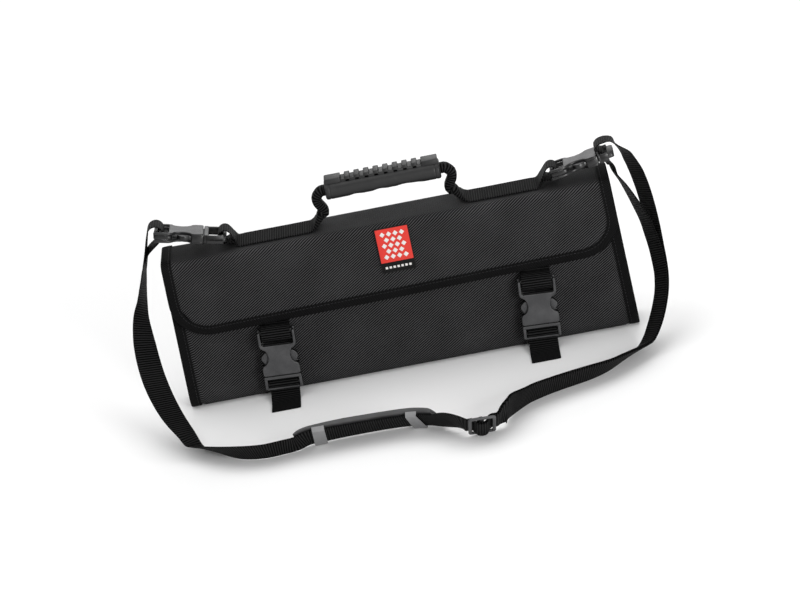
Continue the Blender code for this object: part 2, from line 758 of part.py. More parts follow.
def make_closure(side, word):
    """A front buckle with the strap from the flap and the strap from under the roll."""
    split_z = CLOSURE_SPLIT_Z + (flap_edge_z(side * CLOSURE_SPACING / 2) - flap_edge_z(0)) / 2
    middle = -HALF_DEPTH - CLOSURE_STANDOFF - BUCKLE_THICK / 2
    place = Matrix.Translation((side * CLOSURE_SPACING / 2 + CLOSURE_SHIFT, middle, split_z))
    place = place @ Matrix.Rotation(math.radians(CLOSURE_TILT), 4, "Y")
    make_female(f"front_{word}_female_buckle", place)
    make_male(f"front_{word}_male_buckle", place, LADDER_LENGTH, LADDER_SLOTS)

    panel = -HALF_DEPTH - GAP - WEB_THICK / 2
    edge = flap_edge_z(side * CLOSURE_SPACING / 2)
    points = [Vector((panel, edge + TAPE_WIDTH))]
    loop_z = split_z + FEMALE_LENGTH - BAR / 2 - FLAP_LOOP_SINK
    points += wrap((panel, edge - 3.5 * REBATE), (middle, loop_z), 1, FLAP_LOOP)
    tilts = [0.0, 0.5] + [1.0] * (len(points) - 2)
    hang(f"flap_strap_{word}", side, points, tilts)

    start, end = LADDER_SLOTS[0][1], LADDER_SLOTS[1][0]
    bar_z = split_z - (start + end) / 2
    behind = middle + MALE_THICK / 2 + GAP + WEB_THICK / 2
    tail_z = WEB_THICK / 2 + GAP
    bend = [Vector(point) for point in trough_profile(0.0)[5:10]]
    points = []
    for before, at, after in list(zip(bend, bend[1:], bend[2:]))[::-1]:
        along = (after - before).normalized()
        points.append(at + Vector((-along.y, along.x)) * -(2 * GAP + WEB_THICK / 2))
    over = (end - start) / 2 + GAP + WEB_THICK / 2
    points += [
        Vector((panel, bar_z + 0.4 * over)),
        Vector((mix(panel, middle, 0.5), bar_z + 1.25 * over)),
        Vector((middle, bar_z + 1.15 * over)),
        Vector((middle - WRAP, bar_z + 0.9 * over)),
        Vector((middle - 1.25 * WRAP, bar_z)),
        Vector((middle - WRAP, bar_z - 0.9 * over)),
        Vector((middle, bar_z - 1.1 * over)),
        Vector((mix(middle, behind, 0.5), bar_z - 1.3 * over)),
        Vector((behind, bar_z - 2.2 * over)),
        Vector((behind - 2 * GAP, bar_z - 3.3 * over)),
        Vector((behind - 0.11 * TAIL_REACH, mix(tail_z, bar_z, 0.30))),
        Vector((behind - 0.27 * TAIL_REACH, mix(tail_z, bar_z, 0.08))),
        Vector((behind - 0.49 * TAIL_REACH, tail_z)),
        Vector((-HALF_DEPTH - TAIL_REACH, tail_z)),
    ]
    tilts = [0.0] * 3 + [0.5] + [1.0] * 9 + [0.8, 0.4] + [0.0] * 3
    hang(f"base_strap_{word}", side, points, tilts)


def hang(name, side, points, tilts):
    """A webbing through (depth, height) points in line with a closure and its tilt."""
    stations = []
    for (y, z), tilt in zip(points, tilts):
        angle = math.radians(CLOSURE_TILT * tilt)
        across = Vector((math.cos(angle), 0, -math.sin(angle)))
        stations.append((Vector((closure_x(side, z), y, z)), across, WEB_WIDTH, WEB_THICK))
    band(name, stations, WEBBING)


# The two buckles above the top

def top_place(side, inward, rise, pitch):
    """Matrix of a top buckle: its female half points left and its front face up and back."""
    angle = math.radians(pitch)
    along = Vector((-math.cos(angle), 0, side * -math.sin(angle)))
    facing = Vector((side * -math.sin(angle), 0, math.cos(angle)))
    facing = Matrix.Rotation(math.radians(TOP_TIP), 3, along) @ facing
    across = (-facing).cross(along)
    place = Matrix((across, -facing, along)).transposed().to_4x4()
    place.translation = (side * (half_length_at(ROLL_HEIGHT) - inward), 0, ROLL_HEIGHT + rise)
    return place


def flat(place, along, above=0.0):
    """The (x, z) point along a top buckle's middle, or above it, before the buckle is tipped."""
    way = place.col[2].to_3d()
    point = place.translation + along * way
    return point.x + above * way.z, point.z - above * way.x


def tipped(place, point, share):
    """A point and the width direction there, tipped with a top buckle about its long axis."""
    tip = Matrix.Rotation(math.radians(TOP_TIP) * share, 3, place.col[2].to_3d())
    return place.translation + tip @ (point - place.translation), tip @ Vector((0, -1, 0))


def top_loop(place, along, anchor, turn, radius):
    """A webbing's way from an anchor round a top buckle's bar, as (point, width direction)."""
    centre = Vector(flat(place, along, TOP_LOOP_RISE))
    far = (Vector(anchor) - centre).length
    rows = []
    for at in wrap(anchor, centre, turn, radius):
        share = max(0.0, (far - (at - centre).length) / (far - radius))
        rows.append(tipped(place, Vector((at.x, 0, at.y)), share))
    return rows


def make_carry_webbing():
    """The band along the top, from loop to loop, which rises to carry the grip."""
    half = half_length_at(ROLL_HEIGHT)
    start, end = (-half + BAND_LEFT_END, BAND_Z), (half - BAND_RIGHT_END, BAND_Z)
    left = top_loop(LEFT_PLACE, BAR / 2 - HITCH_LENGTH, start, 1, BAND_LOOP)
    right = top_loop(RIGHT_PLACE, FEMALE_LENGTH - BAR / 2, end, -1, BAND_LOOP)
    rows = [(start[0] + 0.2 * WEB_WIDTH, BAND_Z, 0.0)]
    grip_z = grip_middle_z()
    bends = []
    for side in (-1, 1):
        bend = []
        for out, rise, rolled in smooth_rows(HANDLE_BEND, 2):
            x = HANDLE_SHIFT + side * (GRIP_LENGTH / 2 + out * GRIP_WIDTH)
            bend.append((x, mix(BAND_Z, grip_z, rise), rolled))
        bends.append(bend)
    inside = GRIP_LENGTH / 2 + 0.1 * GRIP_WIDTH
    rows += bends[0]
    rows += [(HANDLE_SHIFT - inside, grip_z, 1.0), (HANDLE_SHIFT + inside, grip_z, 1.0)]
    rows += bends[1][::-1]
    rows.append((end[0] - 0.2 * WEB_WIDTH, BAND_Z, 0.0))
    across = Vector((0, -1, 0))
    stations = [(point, way, WEB_WIDTH, WEB_THICK) for point, way in left[::-1]]
    for x, z, rolled in rows:
        width = mix(WEB_WIDTH, ROLLED_WIDTH, rolled)
        lift = mix(0.0, ROLLED_THICK / 2, rolled) if rolled < 1 else 0.0
        stations.append((Vector((x, 0, z + lift)), across, width, mix(WEB_THICK, ROLLED_THICK, rolled)))
    stations += [(point, way, WEB_WIDTH, WEB_THICK) for point, way in right]
    band("carry_webbing", stations, WEBBING, chamfered=True)


def grip_middle_z():
    return BAND_Z + HANDLE_RISE


def make_grip():
    """The moulded grip: finger waves below, a strip of lugs on top, a bore for the webbing."""
    centre_z = grip_middle_z()
    sections = []
    for share, size, wave in GRIP_PROFILE:
        x = HANDLE_SHIFT + (share - 0.5) * GRIP_LENGTH
        section = []
        for step in range(12):
            angle = math.radians(30 * step + 15)
            y = GRIP_WIDTH / 2 * size * math.copysign(abs(math.cos(angle)) ** 0.8, math.cos(angle))
            z = GRIP_HEIGHT / 2 * size * math.copysign(abs(math.sin(angle)) ** 0.8, math.sin(angle))
            if z < 0:
                z += FINGER_WAVE * wave * math.sin(angle) ** 2
            section.append(Vector((x, y, centre_z + z)))
        sections.append(section)
    grip = add_object("grip", mesh_from(loft(sections), "grip"), GRIP_RUBBER)

    half = 0.491 * GRIP_LENGTH
    base = 0.25 * GRIP_HEIGHT
    top = GRIP_HEIGHT / 2 + STRIP_HEIGHT
    floor = top - 0.6 * STRIP_HEIGHT
    comb = [(-half, base), (half, base), (half, top), (half - STRIP_END, top), (half - STRIP_END, floor)]
    for number in range(LUG_COUNT):
        middle = ((LUG_COUNT - 1) / 2 - number) * LUG_PITCH
        comb += [(middle + LUG_LENGTH / 2, floor), (middle + LUG_LENGTH / 2, top)]
        comb += [(middle - LUG_LENGTH / 2, top), (middle - LUG_LENGTH / 2, floor)]
    comb += [(STRIP_END - half, floor), (STRIP_END - half, top), (-half, top)]
    comb_mesh = plate("grip_strip", [comb], STRIP_WIDTH, 0.5 * CHAMFER)
    strip = add_object("grip_strip", comb_mesh, GRIP_RUBBER, CUTTERS)
    strip.location = (HANDLE_SHIFT, 0, centre_z)
    combine(grip, [strip], "UNION")
    reach = GRIP_LENGTH
    y, z = ROLLED_WIDTH / 2 + GAP, ROLLED_THICK / 2 + GAP
    low, high = HANDLE_SHIFT - reach, HANDLE_SHIFT + reach
    bore = box("grip_bore", (low, -y, centre_z - z), (high, y, centre_z + z))
    combine(grip, [bore], "DIFFERENCE")


# The shoulder strap and what sits on it

def rest_height(lean, half_width):
    """Height of a leaning band's middle when its lower edge lies on the floor."""
    angle = math.radians(lean)
    return half_width * math.sin(angle) + WEB_THICK / 2 * math.cos(angle) + GAP


def route_station(row, half_width=WEB_WIDTH / 2):
    """Centre and width direction of the strap at a row of the route."""
    x, y, z, lean, turn = row
    side, level = math.radians(turn), math.cos(math.radians(lean))
    across = Vector((level * math.sin(side), -level * math.cos(side), math.sin(math.radians(lean))))
    height = max(z * ROLL_HEIGHT, rest_height(lean, half_width))
    return Vector((x * half_length_at(z * ROLL_HEIGHT), -y * STRAP_REACH, height)), across


def settle(stations, halves):
    """Square each width to the strap's way, and lift what would reach below the floor.

    halves holds, for each station, half the width and half the thickness that must clear it.
    """
    squared = []
    for i, (centre, across) in enumerate(stations):
        ahead = stations[min(i + 1, len(stations) - 1)][0] - stations[max(i - 1, 0)][0]
        facing = ahead.cross(across).normalized()
        across = facing.cross(ahead).normalized()
        half_width, half_thick = halves[i]
        reach = half_width * abs(across.z) + half_thick * abs(facing.z) + GAP
        squared.append((Vector((centre.x, centre.y, max(centre.z, reach))), across))
    return squared


def facing_of(stations, i):
    """The strap's outer face at a station: it looks to the front and down."""
    ahead = stations[min(i + 1, len(stations) - 1)][0] - stations[max(i - 1, 0)][0]
    return ahead.cross(stations[i][1]).normalized()


def place_on(stations, i):
    """Matrix at a station with x along the strap, -y its outer face and z its width."""
    ahead = (stations[i + 1][0] - stations[i - 1][0]).normalized()
    across = stations[i][1]
    facing = ahead.cross(across).normalized()
    across = facing.cross(ahead).normalized()
    place = Matrix((ahead, -facing, across)).transposed().to_4x4()
    place.translation = stations[i][0]
    return place


def make_shoulder_strap():
    """One webbing: left buckle, floor, slider, right buckle and back to the slider's bar."""
    rows = smooth_rows(STRAP_ROUTE, 2)
    bare = (WEB_WIDTH / 2, WEB_THICK / 2)
    with_pad = (WEB_WIDTH / 2 + PAD_RIM, BRIDGE_INNER + TAPE_THICK)
    halves = [with_pad if PAD_START < row[0] < SLIDER_PLACE[0] else bare for row in rows]
    run = settle(settle([route_station(row) for row in rows], halves), halves)
    first = run[0][0]
    hook = []
    level = Vector((0, -1, 0))
    loop = top_loop(LEFT_PLACE, FEMALE_LENGTH - BAR / 2, (first.x, first.z), -1, HOOK_LOOP)
    for i, (point, way) in enumerate(loop[1:]):
        share = min(1.0, 0.6 * (i + 1))
        at = point + Vector((0, first.y * (1 - share), 0))
        hook.append((at, run[0][1].lerp(way, share).normalized()))
    left_end = hook[::-1]

    centre, across = route_station(SLIDER_PLACE, SLIDER_HALF_WIDTH)
    slider_place = slider_matrix(centre, across)
    across = slider_place.col[2].to_3d()
    over = [at_slider(slider_place, *point) for point in SLIDER_OVER]
    rise = [route_station(row) for row in smooth_rows(STRAP_RISE, 2)]
    halves = [bare] * len(rise)
    rise = settle(settle(rise, halves), halves)
    stations = left_end + run + [(point, across) for point in over] + rise

    back = []
    for i, (point, width_way) in enumerate(rise):
        spread = read_table(LAYER_SPREAD, i / (len(rise) - 1))
        way = facing_of(rise, i).lerp(Vector((1, 0, 0)), min(1.0, 2 * spread)).normalized()
        at = point - way * (LAYER + WEB_WIDTH * spread)
        at.y *= 1 - spread
        back.append((at, width_way.lerp(level, spread).normalized()))
    ring = flat(RIGHT_PLACE, -(RING_SLOTS[0][0] + RING_SLOTS[0][1]) / 2)
    depth = rise[-1][0].y
    for out, up, share in RING_LOOP:
        at = Vector((ring[0] + out * WEB_WIDTH, 0, ring[1] + up * WEB_WIDTH))
        at, way = tipped(RIGHT_PLACE, at, share)
        at.y += depth * (1 - share)
        stations.append((at, rise[-1][1].lerp(way, share).normalized()))
    stations += back[-2::-1]
    stations += [(at_slider(slider_place, *point), across) for point in SLIDER_UNDER]
    halves = [bare] * len(stations)
    stations = settle(settle(stations, halves), halves)
    full = [(point, way, WEB_WIDTH, WEB_THICK) for point, way in stations]
    band("shoulder_strap", full, WEBBING)
    make_slider(slider_place)
    make_pad(run)


def slider_matrix(centre, across):
    """Matrix of the slider: x along the strap, -y its outer face, z across the strap."""
    ahead = Vector((1, 0, 0))
    ahead = (ahead - across * ahead.dot(across)).normalized()
    facing = ahead.cross(across).normalized()
    place = Matrix((ahead, -facing, across)).transposed().to_4x4()
    rest = SLIDER_HALF_WIDTH * abs(across.z) + SLIDER_THICK / 2 * abs(facing.z) + 2 * GAP
    place.translation = (centre.x, centre.y, rest)
    return place


def at_slider(place, along, out):
    """A strap point: along in half slider lengths, out where 1 lies on the slider's face."""
    return place @ Vector((along * SLIDER_LENGTH / 2, -out * (SLIDER_THICK / 2 + GAP + WEB_THICK / 2), 0))


def make_slider(place):
    """The flat frame with a middle bar that sets the strap's length."""
    half = SLIDER_LENGTH / 2
    slot_half = WEB_WIDTH / 2 + 2 * GAP
    corner = 0.88 * SLIDER_BAR
    outline = [(z, x) for x, z in rounded_rectangle(2 * SLIDER_HALF_WIDTH, -half, half, corner, 2)]
    slots = []
    for side in (-1, 1):
        ends = sorted((side * SLIDER_BAR / 2, side * (half - SLIDER_BAR)))
        slot = rounded_rectangle(2 * slot_half, ends[0], ends[1], 0.3 * SLIDER_BAR, 1)
        slots.append([(z, x) for x, z in slot])
    mesh = plate("strap_slider", [outline] + slots, SLIDER_THICK, 0.6 * CHAMFER)
    slider = add_object("strap_slider", mesh, BLACK_PLASTIC)
    slider.matrix_world = place


def make_pad(run):
    """The moulded pad behind the strap, with two bridges that hold the strap to it."""
    lengths = [0.0]
    for near, far in zip(run, run[1:]):
        lengths.append(lengths[-1] + (far[0] - near[0]).length)
    start = next(i for i, (point, _) in enumerate(run) if point.x > PAD_START * ROLL_LENGTH / 2)
    sections = []
    frames = []
    for i in range(start, len(run) - 1):
        share = (lengths[i] - lengths[start]) / PAD_LENGTH
        frames.append((share, place_on(run, i)))
        if share > 1.0:
            break
    for step in range(13):
        share = step / 12
        place = frame_at(frames, share)
        near = WEB_THICK / 2 + 4 * GAP
        far = near + PAD_THICK * read_table(PAD_PROFILE, share)
        half = WEB_WIDTH / 2 + PAD_RIM
        cut = 0.12 * PAD_THICK
        outline = ((near, half - cut), (near + cut, half), (far - cut, half), (far, half - 2 * cut))
        outline += tuple((y, -z) for y, z in outline[::-1])
        sections.append([place @ Vector((0, y, z)) for y, z in outline])
    pad = add_object("shoulder_pad", mesh_from(loft(sections), "shoulder_pad"), PAD_FOAM)
    bridges = []
    for number, middle in enumerate((BRIDGE_INSET, PAD_LENGTH - BRIDGE_INSET)):
        sections = []
        for offset in (-0.5, 0.5):
            place = frame_at(frames, (middle + offset * BRIDGE_LENGTH) / PAD_LENGTH)
            inner = BRIDGE_INNER
            outer = inner + TAPE_THICK
            foot = WEB_THICK / 2 + 0.4 * PAD_THICK
            half = WEB_WIDTH / 2 + 0.9 * PAD_RIM
            slot = WEB_WIDTH / 2 + 4 * GAP
            outline = (
                (foot, half), (-outer, half), (-outer, -half), (foot, -half),
                (foot, -slot), (-inner, -slot), (-inner, slot), (foot, slot),
            )
            sections.append([place @ Vector((0, y, z)) for y, z in outline])
        name = f"shoulder_pad_bridge{number}"
        bridges.append(add_object(name, mesh_from(loft(sections), name), PAD_FOAM, CUTTERS))
    combine(pad, bridges, "UNION")


def frame_at(frames, share):
    """The strap's matrix at a share of the pad's length, between two stations."""
    for (s0, near), (s1, far) in zip(frames, frames[1:]):
        if share <= s1:
            return near.lerp(far, (share - s0) / (s1 - s0))
    return frames[-1][1]


clear_scene()
PARTS = make_collection("chef_knife_roll")
CUTTERS = make_collection("cutters")
NYLON = make_material("black_nylon", (0.012, 0.012, 0.013), 0.75)
BINDING = make_material("black_binding_tape", (0.008, 0.008, 0.009), 0.8)
WEBBING = make_material("black_webbing", (0.010, 0.010, 0.011), 0.7)
BLACK_PLASTIC = make_material("black_buckle_plastic", (0.02, 0.02, 0.022), 0.35)
GRIP_RUBBER = make_material("black_grip", (0.015, 0.015, 0.016), 0.4)
PAD_FOAM = make_material("dark_grey_pad", (0.035, 0.035, 0.037), 0.6)
LABEL_RED = make_material("label_red", (0.65, 0.03, 0.02), 0.55)
LEFT_PLACE = top_place(-1, LEFT_SPLIT_IN, LEFT_SPLIT_RISE, LEFT_PITCH)
RIGHT_PLACE = top_place(1, RIGHT_SPLIT_IN, RIGHT_SPLIT_RISE, RIGHT_PITCH)

make_body()
make_end_binding("body_binding_left", -1)
make_end_binding("body_binding_right", 1)
make_flap()
make_flap_binding()
make_label()
make_closure(-1, "left")
make_closure(1, "right")
make_female("top_left_female_buckle", LEFT_PLACE)
make_male("top_left_male_buckle", LEFT_PLACE, HITCH_LENGTH, HITCH_SLOTS)
make_female("top_right_female_buckle", RIGHT_PLACE)
make_male("top_right_male_buckle", RIGHT_PLACE, RING_LENGTH, RING_SLOTS)
make_carry_webbing()
make_grip()
make_shoulder_strap()
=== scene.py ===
"""Looks of a closed chef's knife roll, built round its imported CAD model.

Every length is in metres. X runs along the roll, -Y is its front and +Z is up, as in the CAD
model. Each sub-assembly is a class that builds its meshes and gives them their finishes.
"""

import logging
import math
from collections.abc import Callable, Sequence
from dataclasses import dataclass, field
from enum import Enum

import bmesh
import bpy
from mathutils import Matrix, Vector, noise


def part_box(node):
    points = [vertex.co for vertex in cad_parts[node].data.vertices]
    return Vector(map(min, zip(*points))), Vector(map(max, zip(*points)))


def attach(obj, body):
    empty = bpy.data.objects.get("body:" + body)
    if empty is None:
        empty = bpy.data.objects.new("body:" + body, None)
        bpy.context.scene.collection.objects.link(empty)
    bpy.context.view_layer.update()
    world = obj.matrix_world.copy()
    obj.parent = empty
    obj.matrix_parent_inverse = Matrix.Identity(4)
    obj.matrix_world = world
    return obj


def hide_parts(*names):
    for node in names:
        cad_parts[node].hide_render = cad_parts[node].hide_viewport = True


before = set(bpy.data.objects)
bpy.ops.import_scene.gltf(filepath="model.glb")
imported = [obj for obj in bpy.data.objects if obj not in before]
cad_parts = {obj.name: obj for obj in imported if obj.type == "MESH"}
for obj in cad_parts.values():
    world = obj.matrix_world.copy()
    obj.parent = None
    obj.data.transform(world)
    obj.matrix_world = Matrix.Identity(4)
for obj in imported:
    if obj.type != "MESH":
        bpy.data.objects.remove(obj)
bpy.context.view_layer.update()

LOG = logging.getLogger("knife_roll")
GAP = 0.0003

Point = tuple[float, float]
Place = Callable[[float, float], tuple[Vector, Point]]


class Side(Enum):
    """The two ends of the roll, as the sign of their X."""

    LEFT = -1
    RIGHT = 1

    @property
    def word(self) -> str:
        """The end's name in the names of its pieces."""
        return self.name.lower()


class Weave(Enum):
    """How a cloth is woven, as the turn of its ribs in degrees."""

    TWILL = 34.0
    HERRINGBONE = 38.0
    RIBBED = 0.0


# Finishes


def new_group(name: str, inputs: dict[str, float], outputs: Sequence[str]) -> bpy.types.NodeTree:
    """Start a shader node group.

    Args:
        name: The group's name.
        inputs: Its number inputs with their usual values. A vector input, Vector, is added.
        outputs: Its number outputs.

    Returns:
        The group, with its input and output nodes named In and Out.
    """
    group = bpy.data.node_groups.new(name, "ShaderNodeTree")
    group.interface.new_socket("Vector", in_out="INPUT", socket_type="NodeSocketVector")
    for title, value in inputs.items():
        socket = group.interface.new_socket(title, in_out="INPUT", socket_type="NodeSocketFloat")
        socket.default_value = value
    for title in outputs:
        group.interface.new_socket(title, in_out="OUTPUT", socket_type="NodeSocketFloat")
    group.nodes.new("NodeGroupInput").name = "In"
    group.nodes.new("NodeGroupOutput").name = "Out"
    return group


def math_node(tree: bpy.types.NodeTree, operation: str, *values: object) -> bpy.types.NodeSocket:
    """Add a math node.

    Args:
        tree: The node tree to add it to.
        operation: The math node's operation.
        values: Numbers or output sockets for its inputs.

    Returns:
        The node's output.
    """
    node = tree.nodes.new("ShaderNodeMath")
    node.operation = operation
    for socket, value in zip(node.inputs, values):
        if isinstance(value, bpy.types.NodeSocket):
            tree.links.new(value, socket)
        else:
            socket.default_value = value
    return node.outputs[0]


def noise_node(
    tree: bpy.types.NodeTree, vector: bpy.types.NodeSocket, scale: float, detail: float = 2.0
) -> bpy.types.NodeSocket:
    """Add a noise texture.

    Args:
        tree: The node tree to add it to.
        vector: The coordinates that it reads.
        scale: Its scale, in cycles per metre.
        detail: Its detail.

    Returns:
        The noise's value, about 0.5 in the mean.
    """
    node = tree.nodes.new("ShaderNodeTexNoise")
    node.inputs["Scale"].default_value = scale
    node.inputs["Detail"].default_value = detail
    tree.links.new(vector, node.inputs["Vector"])
    return node.outputs[0]


def weave_group() -> bpy.types.NodeTree:
    """Build the weave that all cloths use: ribs crossed by finer threads, with uneven yarn.

    Returns:
        A group that puts out Height and Shade, both from 0 to 1. Shade is the height plus random soil, so raised
        threads are painted sheen and grooves painted shade.
    """
    inputs = {"Pitch": 0.002, "Turn": 45.0, "Cross": 0.5, "Uneven": 0.3}
    group = new_group("woven_threads", inputs, ("Height", "Shade"))
    source, sink = group.nodes["In"].outputs, group.nodes["Out"].inputs
    turn = group.nodes.new("ShaderNodeVectorRotate")
    turn.rotation_type = "Z_AXIS"
    group.links.new(source["Vector"], turn.inputs["Vector"])
    group.links.new(math_node(group, "RADIANS", source["Turn"]), turn.inputs["Angle"])
    split = group.nodes.new("ShaderNodeSeparateXYZ")
    group.links.new(turn.outputs[0], split.inputs[0])
    pace = math_node(group, "DIVIDE", math.tau, source["Pitch"])
    wander = noise_node(group, source["Vector"], 260.0)
    wander = math_node(group, "MULTIPLY", math_node(group, "SUBTRACT", wander, 0.5), 1.6)
    along = math_node(group, "ADD", math_node(group, "MULTIPLY", split.outputs[1], pace), wander)
    ribs = math_node(group, "MULTIPLY_ADD", math_node(group, "SINE", along), 0.5, 0.5)
    ribs = math_node(group, "POWER", ribs, 1.7)
    across = math_node(group, "MULTIPLY", split.outputs[0], math_node(group, "MULTIPLY", pace, 1.7))
    threads = math_node(group, "MULTIPLY_ADD", math_node(group, "SINE", across), 0.5, 0.5)
    crossed = math_node(group, "MULTIPLY", threads, source["Cross"])
    woven = math_node(group, "MULTIPLY", ribs, math_node(group, "SUBTRACT", 1.0, crossed))
    yarn = noise_node(group, source["Vector"], 1400.0, 3.0)
    yarn = math_node(group, "MULTIPLY", math_node(group, "SUBTRACT", yarn, 0.5), source["Uneven"])
    height = math_node(group, "ADD", woven, yarn)
    group.links.new(height, sink["Height"])
    soil = noise_node(group, source["Vector"], 22.0, 4.0)
    soil = math_node(group, "MULTIPLY", math_node(group, "SUBTRACT", soil, 0.5), source["Uneven"])
    # Shade: the relief painted into the colour, sheen on raised threads and shade in the grooves, plus random soil
    # tone.
    shade = math_node(group, "ADD", height, soil)
    group.links.new(shade, sink["Shade"])
    return group


def grain_group() -> bpy.types.NodeTree:
    """Build the spark-eroded grain and the handling wear that all moulded pieces use.

    Returns:
        A group that puts out Height and Wear, both from 0 to 1.
    """
    group = new_group("moulded_grain", {"Fine": 2600.0, "Coarse": 60.0}, ("Height", "Wear"))
    source, sink = group.nodes["In"].outputs, group.nodes["Out"].inputs
    fine = group.nodes.new("ShaderNodeTexNoise")
    fine.inputs["Detail"].default_value = 3.0
    group.links.new(source["Vector"], fine.inputs["Vector"])
    group.links.new(source["Fine"], fine.inputs["Scale"])
    group.links.new(fine.outputs[0], sink["Height"])
    coarse = group.nodes.new("ShaderNodeTexNoise")
    coarse.inputs["Detail"].default_value = 5.0
    group.links.new(source["Vector"], coarse.inputs["Vector"])
    group.links.new(source["Coarse"], coarse.inputs["Scale"])
    wear = math_node(group, "SUBTRACT", coarse.outputs[0], 0.45)
    wear_out = math_node(group, "MULTIPLY", wear, 3.0)
    group.links.new(wear_out, sink["Wear"])
    return group


GROUPS: dict[str, bpy.types.NodeTree] = {}


def shared_group(name: str) -> bpy.types.NodeTree:
    """Return one of the two shared node groups, built the first time that it is asked for.

    Args:
        name: Either weave or grain.

    Returns:
        The node group.
    """
    if name not in GROUPS:
        GROUPS[name] = weave_group() if name == "weave" else grain_group()
    return GROUPS[name]


@dataclass(frozen=True)
class Finish:
    """What every finish has: its name, its two colours and its gloss."""

    name: str
    dark: tuple[float, float, float]
    light: tuple[float, float, float]
    roughness: float
    relief: float

    def start(self) -> tuple[bpy.types.Material, bpy.types.NodeTree, bpy.types.Node]:
        """Make the material and return it with its node tree and its Principled shader."""
        material = bpy.data.materials.new(self.name)
        material.use_nodes = True
        tree = material.node_tree
        return material, tree, tree.nodes["Principled BSDF"]

    def paint(
        self,
        tree: bpy.types.NodeTree,
        shader: bpy.types.Node,
        mask: bpy.types.NodeSocket,
        height: bpy.types.NodeSocket,
        depth: float,
    ) -> None:
        """Lead a colour mask and a height to a shader.

        Args:
            tree: The material's node tree.
            shader: The Principled shader.
            mask: 0 for the dark colour and 1 for the light one.
            height: The relief, from 0 to 1.
            depth: How deep the relief is, in metres.
        """
        blend = tree.nodes.new("ShaderNodeMix")
        blend.data_type = "RGBA"
        blend.inputs["A"].default_value = (*self.dark, 1.0)
        blend.inputs["B"].default_value = (*self.light, 1.0)
        tree.links.new(mask, blend.inputs["Factor"])
        tree.links.new(blend.outputs["Result"], shader.inputs["Base Color"])
        bump = tree.nodes.new("ShaderNodeBump")
        bump.inputs["Strength"].default_value = self.relief
        bump.inputs["Distance"].default_value = depth
        tree.links.new(height, bump.inputs["Height"])
        tree.links.new(bump.outputs[0], shader.inputs["Normal"])


@dataclass(frozen=True)
class ClothFinish(Finish):
    """A woven cloth, whose pattern follows the piece's own UV map in metres."""

    weave: Weave = Weave.TWILL
    pitch: float = 0.002
    cross: float = 0.5
    gleam: float = 0.15

    def material(self) -> bpy.types.Material:
        """Make the cloth's material, or return it if it is made already."""
        if self.name in bpy.data.materials:
            return bpy.data.materials[self.name]
        material, tree, shader = self.start()
        uv = tree.nodes.new("ShaderNodeUVMap")
        uv.uv_map = "metres"
        weave = tree.nodes.new("ShaderNodeGroup")
        weave.node_tree = shared_group("weave")
        weave.inputs["Pitch"].default_value = self.pitch
        weave.inputs["Turn"].default_value = self.weave.value
        weave.inputs["Cross"].default_value = self.cross
        tree.links.new(uv.outputs[0], weave.inputs["Vector"])
        shader.inputs["Roughness"].default_value = self.roughness
        shader.inputs["Specular IOR Level"].default_value = self.gleam
        # The colour follows the weave's relief: painted sheen on raised threads, painted shade in the grooves.
        self.paint(tree, shader, weave.outputs["Shade"], weave.outputs["Height"], 0.25 * self.pitch)
        return material


@dataclass(frozen=True)
class MouldedFinish(Finish):
    """A moulded plastic or rubber with a fine grain and rubbed places."""

    fine: float = 2600.0
    coat: float = 0.0

    def material(self) -> bpy.types.Material:
        """Make the moulded material, or return it if it is made already."""
        if self.name in bpy.data.materials:
            return bpy.data.materials[self.name]
        material, tree, shader = self.start()
        where = tree.nodes.new("ShaderNodeTexCoord")
        grain = tree.nodes.new("ShaderNodeGroup")
        grain.node_tree = shared_group("grain")
        grain.inputs["Fine"].default_value = self.fine
        tree.links.new(where.outputs["Object"], grain.inputs["Vector"])
        worn = math_node(tree, "MULTIPLY_ADD", grain.outputs["Wear"], 0.12, self.roughness)
        tree.links.new(worn, shader.inputs["Roughness"])
        shader.inputs["Coat Weight"].default_value = self.coat
        self.paint(tree, shader, grain.outputs["Wear"], grain.outputs["Height"], 0.0002)
        return material


# On every cloth the light colour goes on the raised threads as painted sheen and the dark colour in the grooves as
# painted shade.
NYLON = ClothFinish(
    "ballistic_nylon", (0.0004, 0.0004, 0.0005), (0.082, 0.082, 0.084), 0.6, 1.0, Weave.TWILL, 0.0021, 0.35, 0.05
)
TAPE = ClothFinish(
    "binding_tape", (0.0005, 0.0005, 0.0005), (0.014, 0.014, 0.0145), 0.65, 0.9, Weave.HERRINGBONE, 0.0015, 0.5, 0.05
)
# The black webbing's bright ribs are painted sheen.
WEBBING = ClothFinish(
    "ribbed_webbing", (0.0001, 0.0001, 0.0001), (0.026, 0.026, 0.0263), 0.5, 1.0, Weave.RIBBED, 0.0024, 0.3, 0.02
)
LABEL_CLOTH = ClothFinish(
    "label_red_weave", (0.55, 0.030, 0.022), (0.74, 0.070, 0.055), 0.6, 0.35, Weave.RIBBED, 0.0008, 0.4
)
LABEL_DARK = ClothFinish(
    "label_black_weave", (0.0015, 0.0015, 0.0015), (0.008, 0.008, 0.008), 0.6, 0.35, Weave.RIBBED, 0.0008
)
LABEL_WHITE = ClothFinish(
    "label_white_thread", (0.60, 0.58, 0.56), (0.84, 0.83, 0.81), 0.55, 0.4, Weave.TWILL, 0.0007, 0.4
)
THREAD = ClothFinish(
    "sewing_thread", (0.010, 0.010, 0.011), (0.045, 0.045, 0.047), 0.45, 0.4, Weave.TWILL, 0.0004, 0.2
)
PLASTIC = MouldedFinish("buckle_plastic", (0.003, 0.003, 0.0032), (0.009, 0.009, 0.0095), 0.30, 0.25)
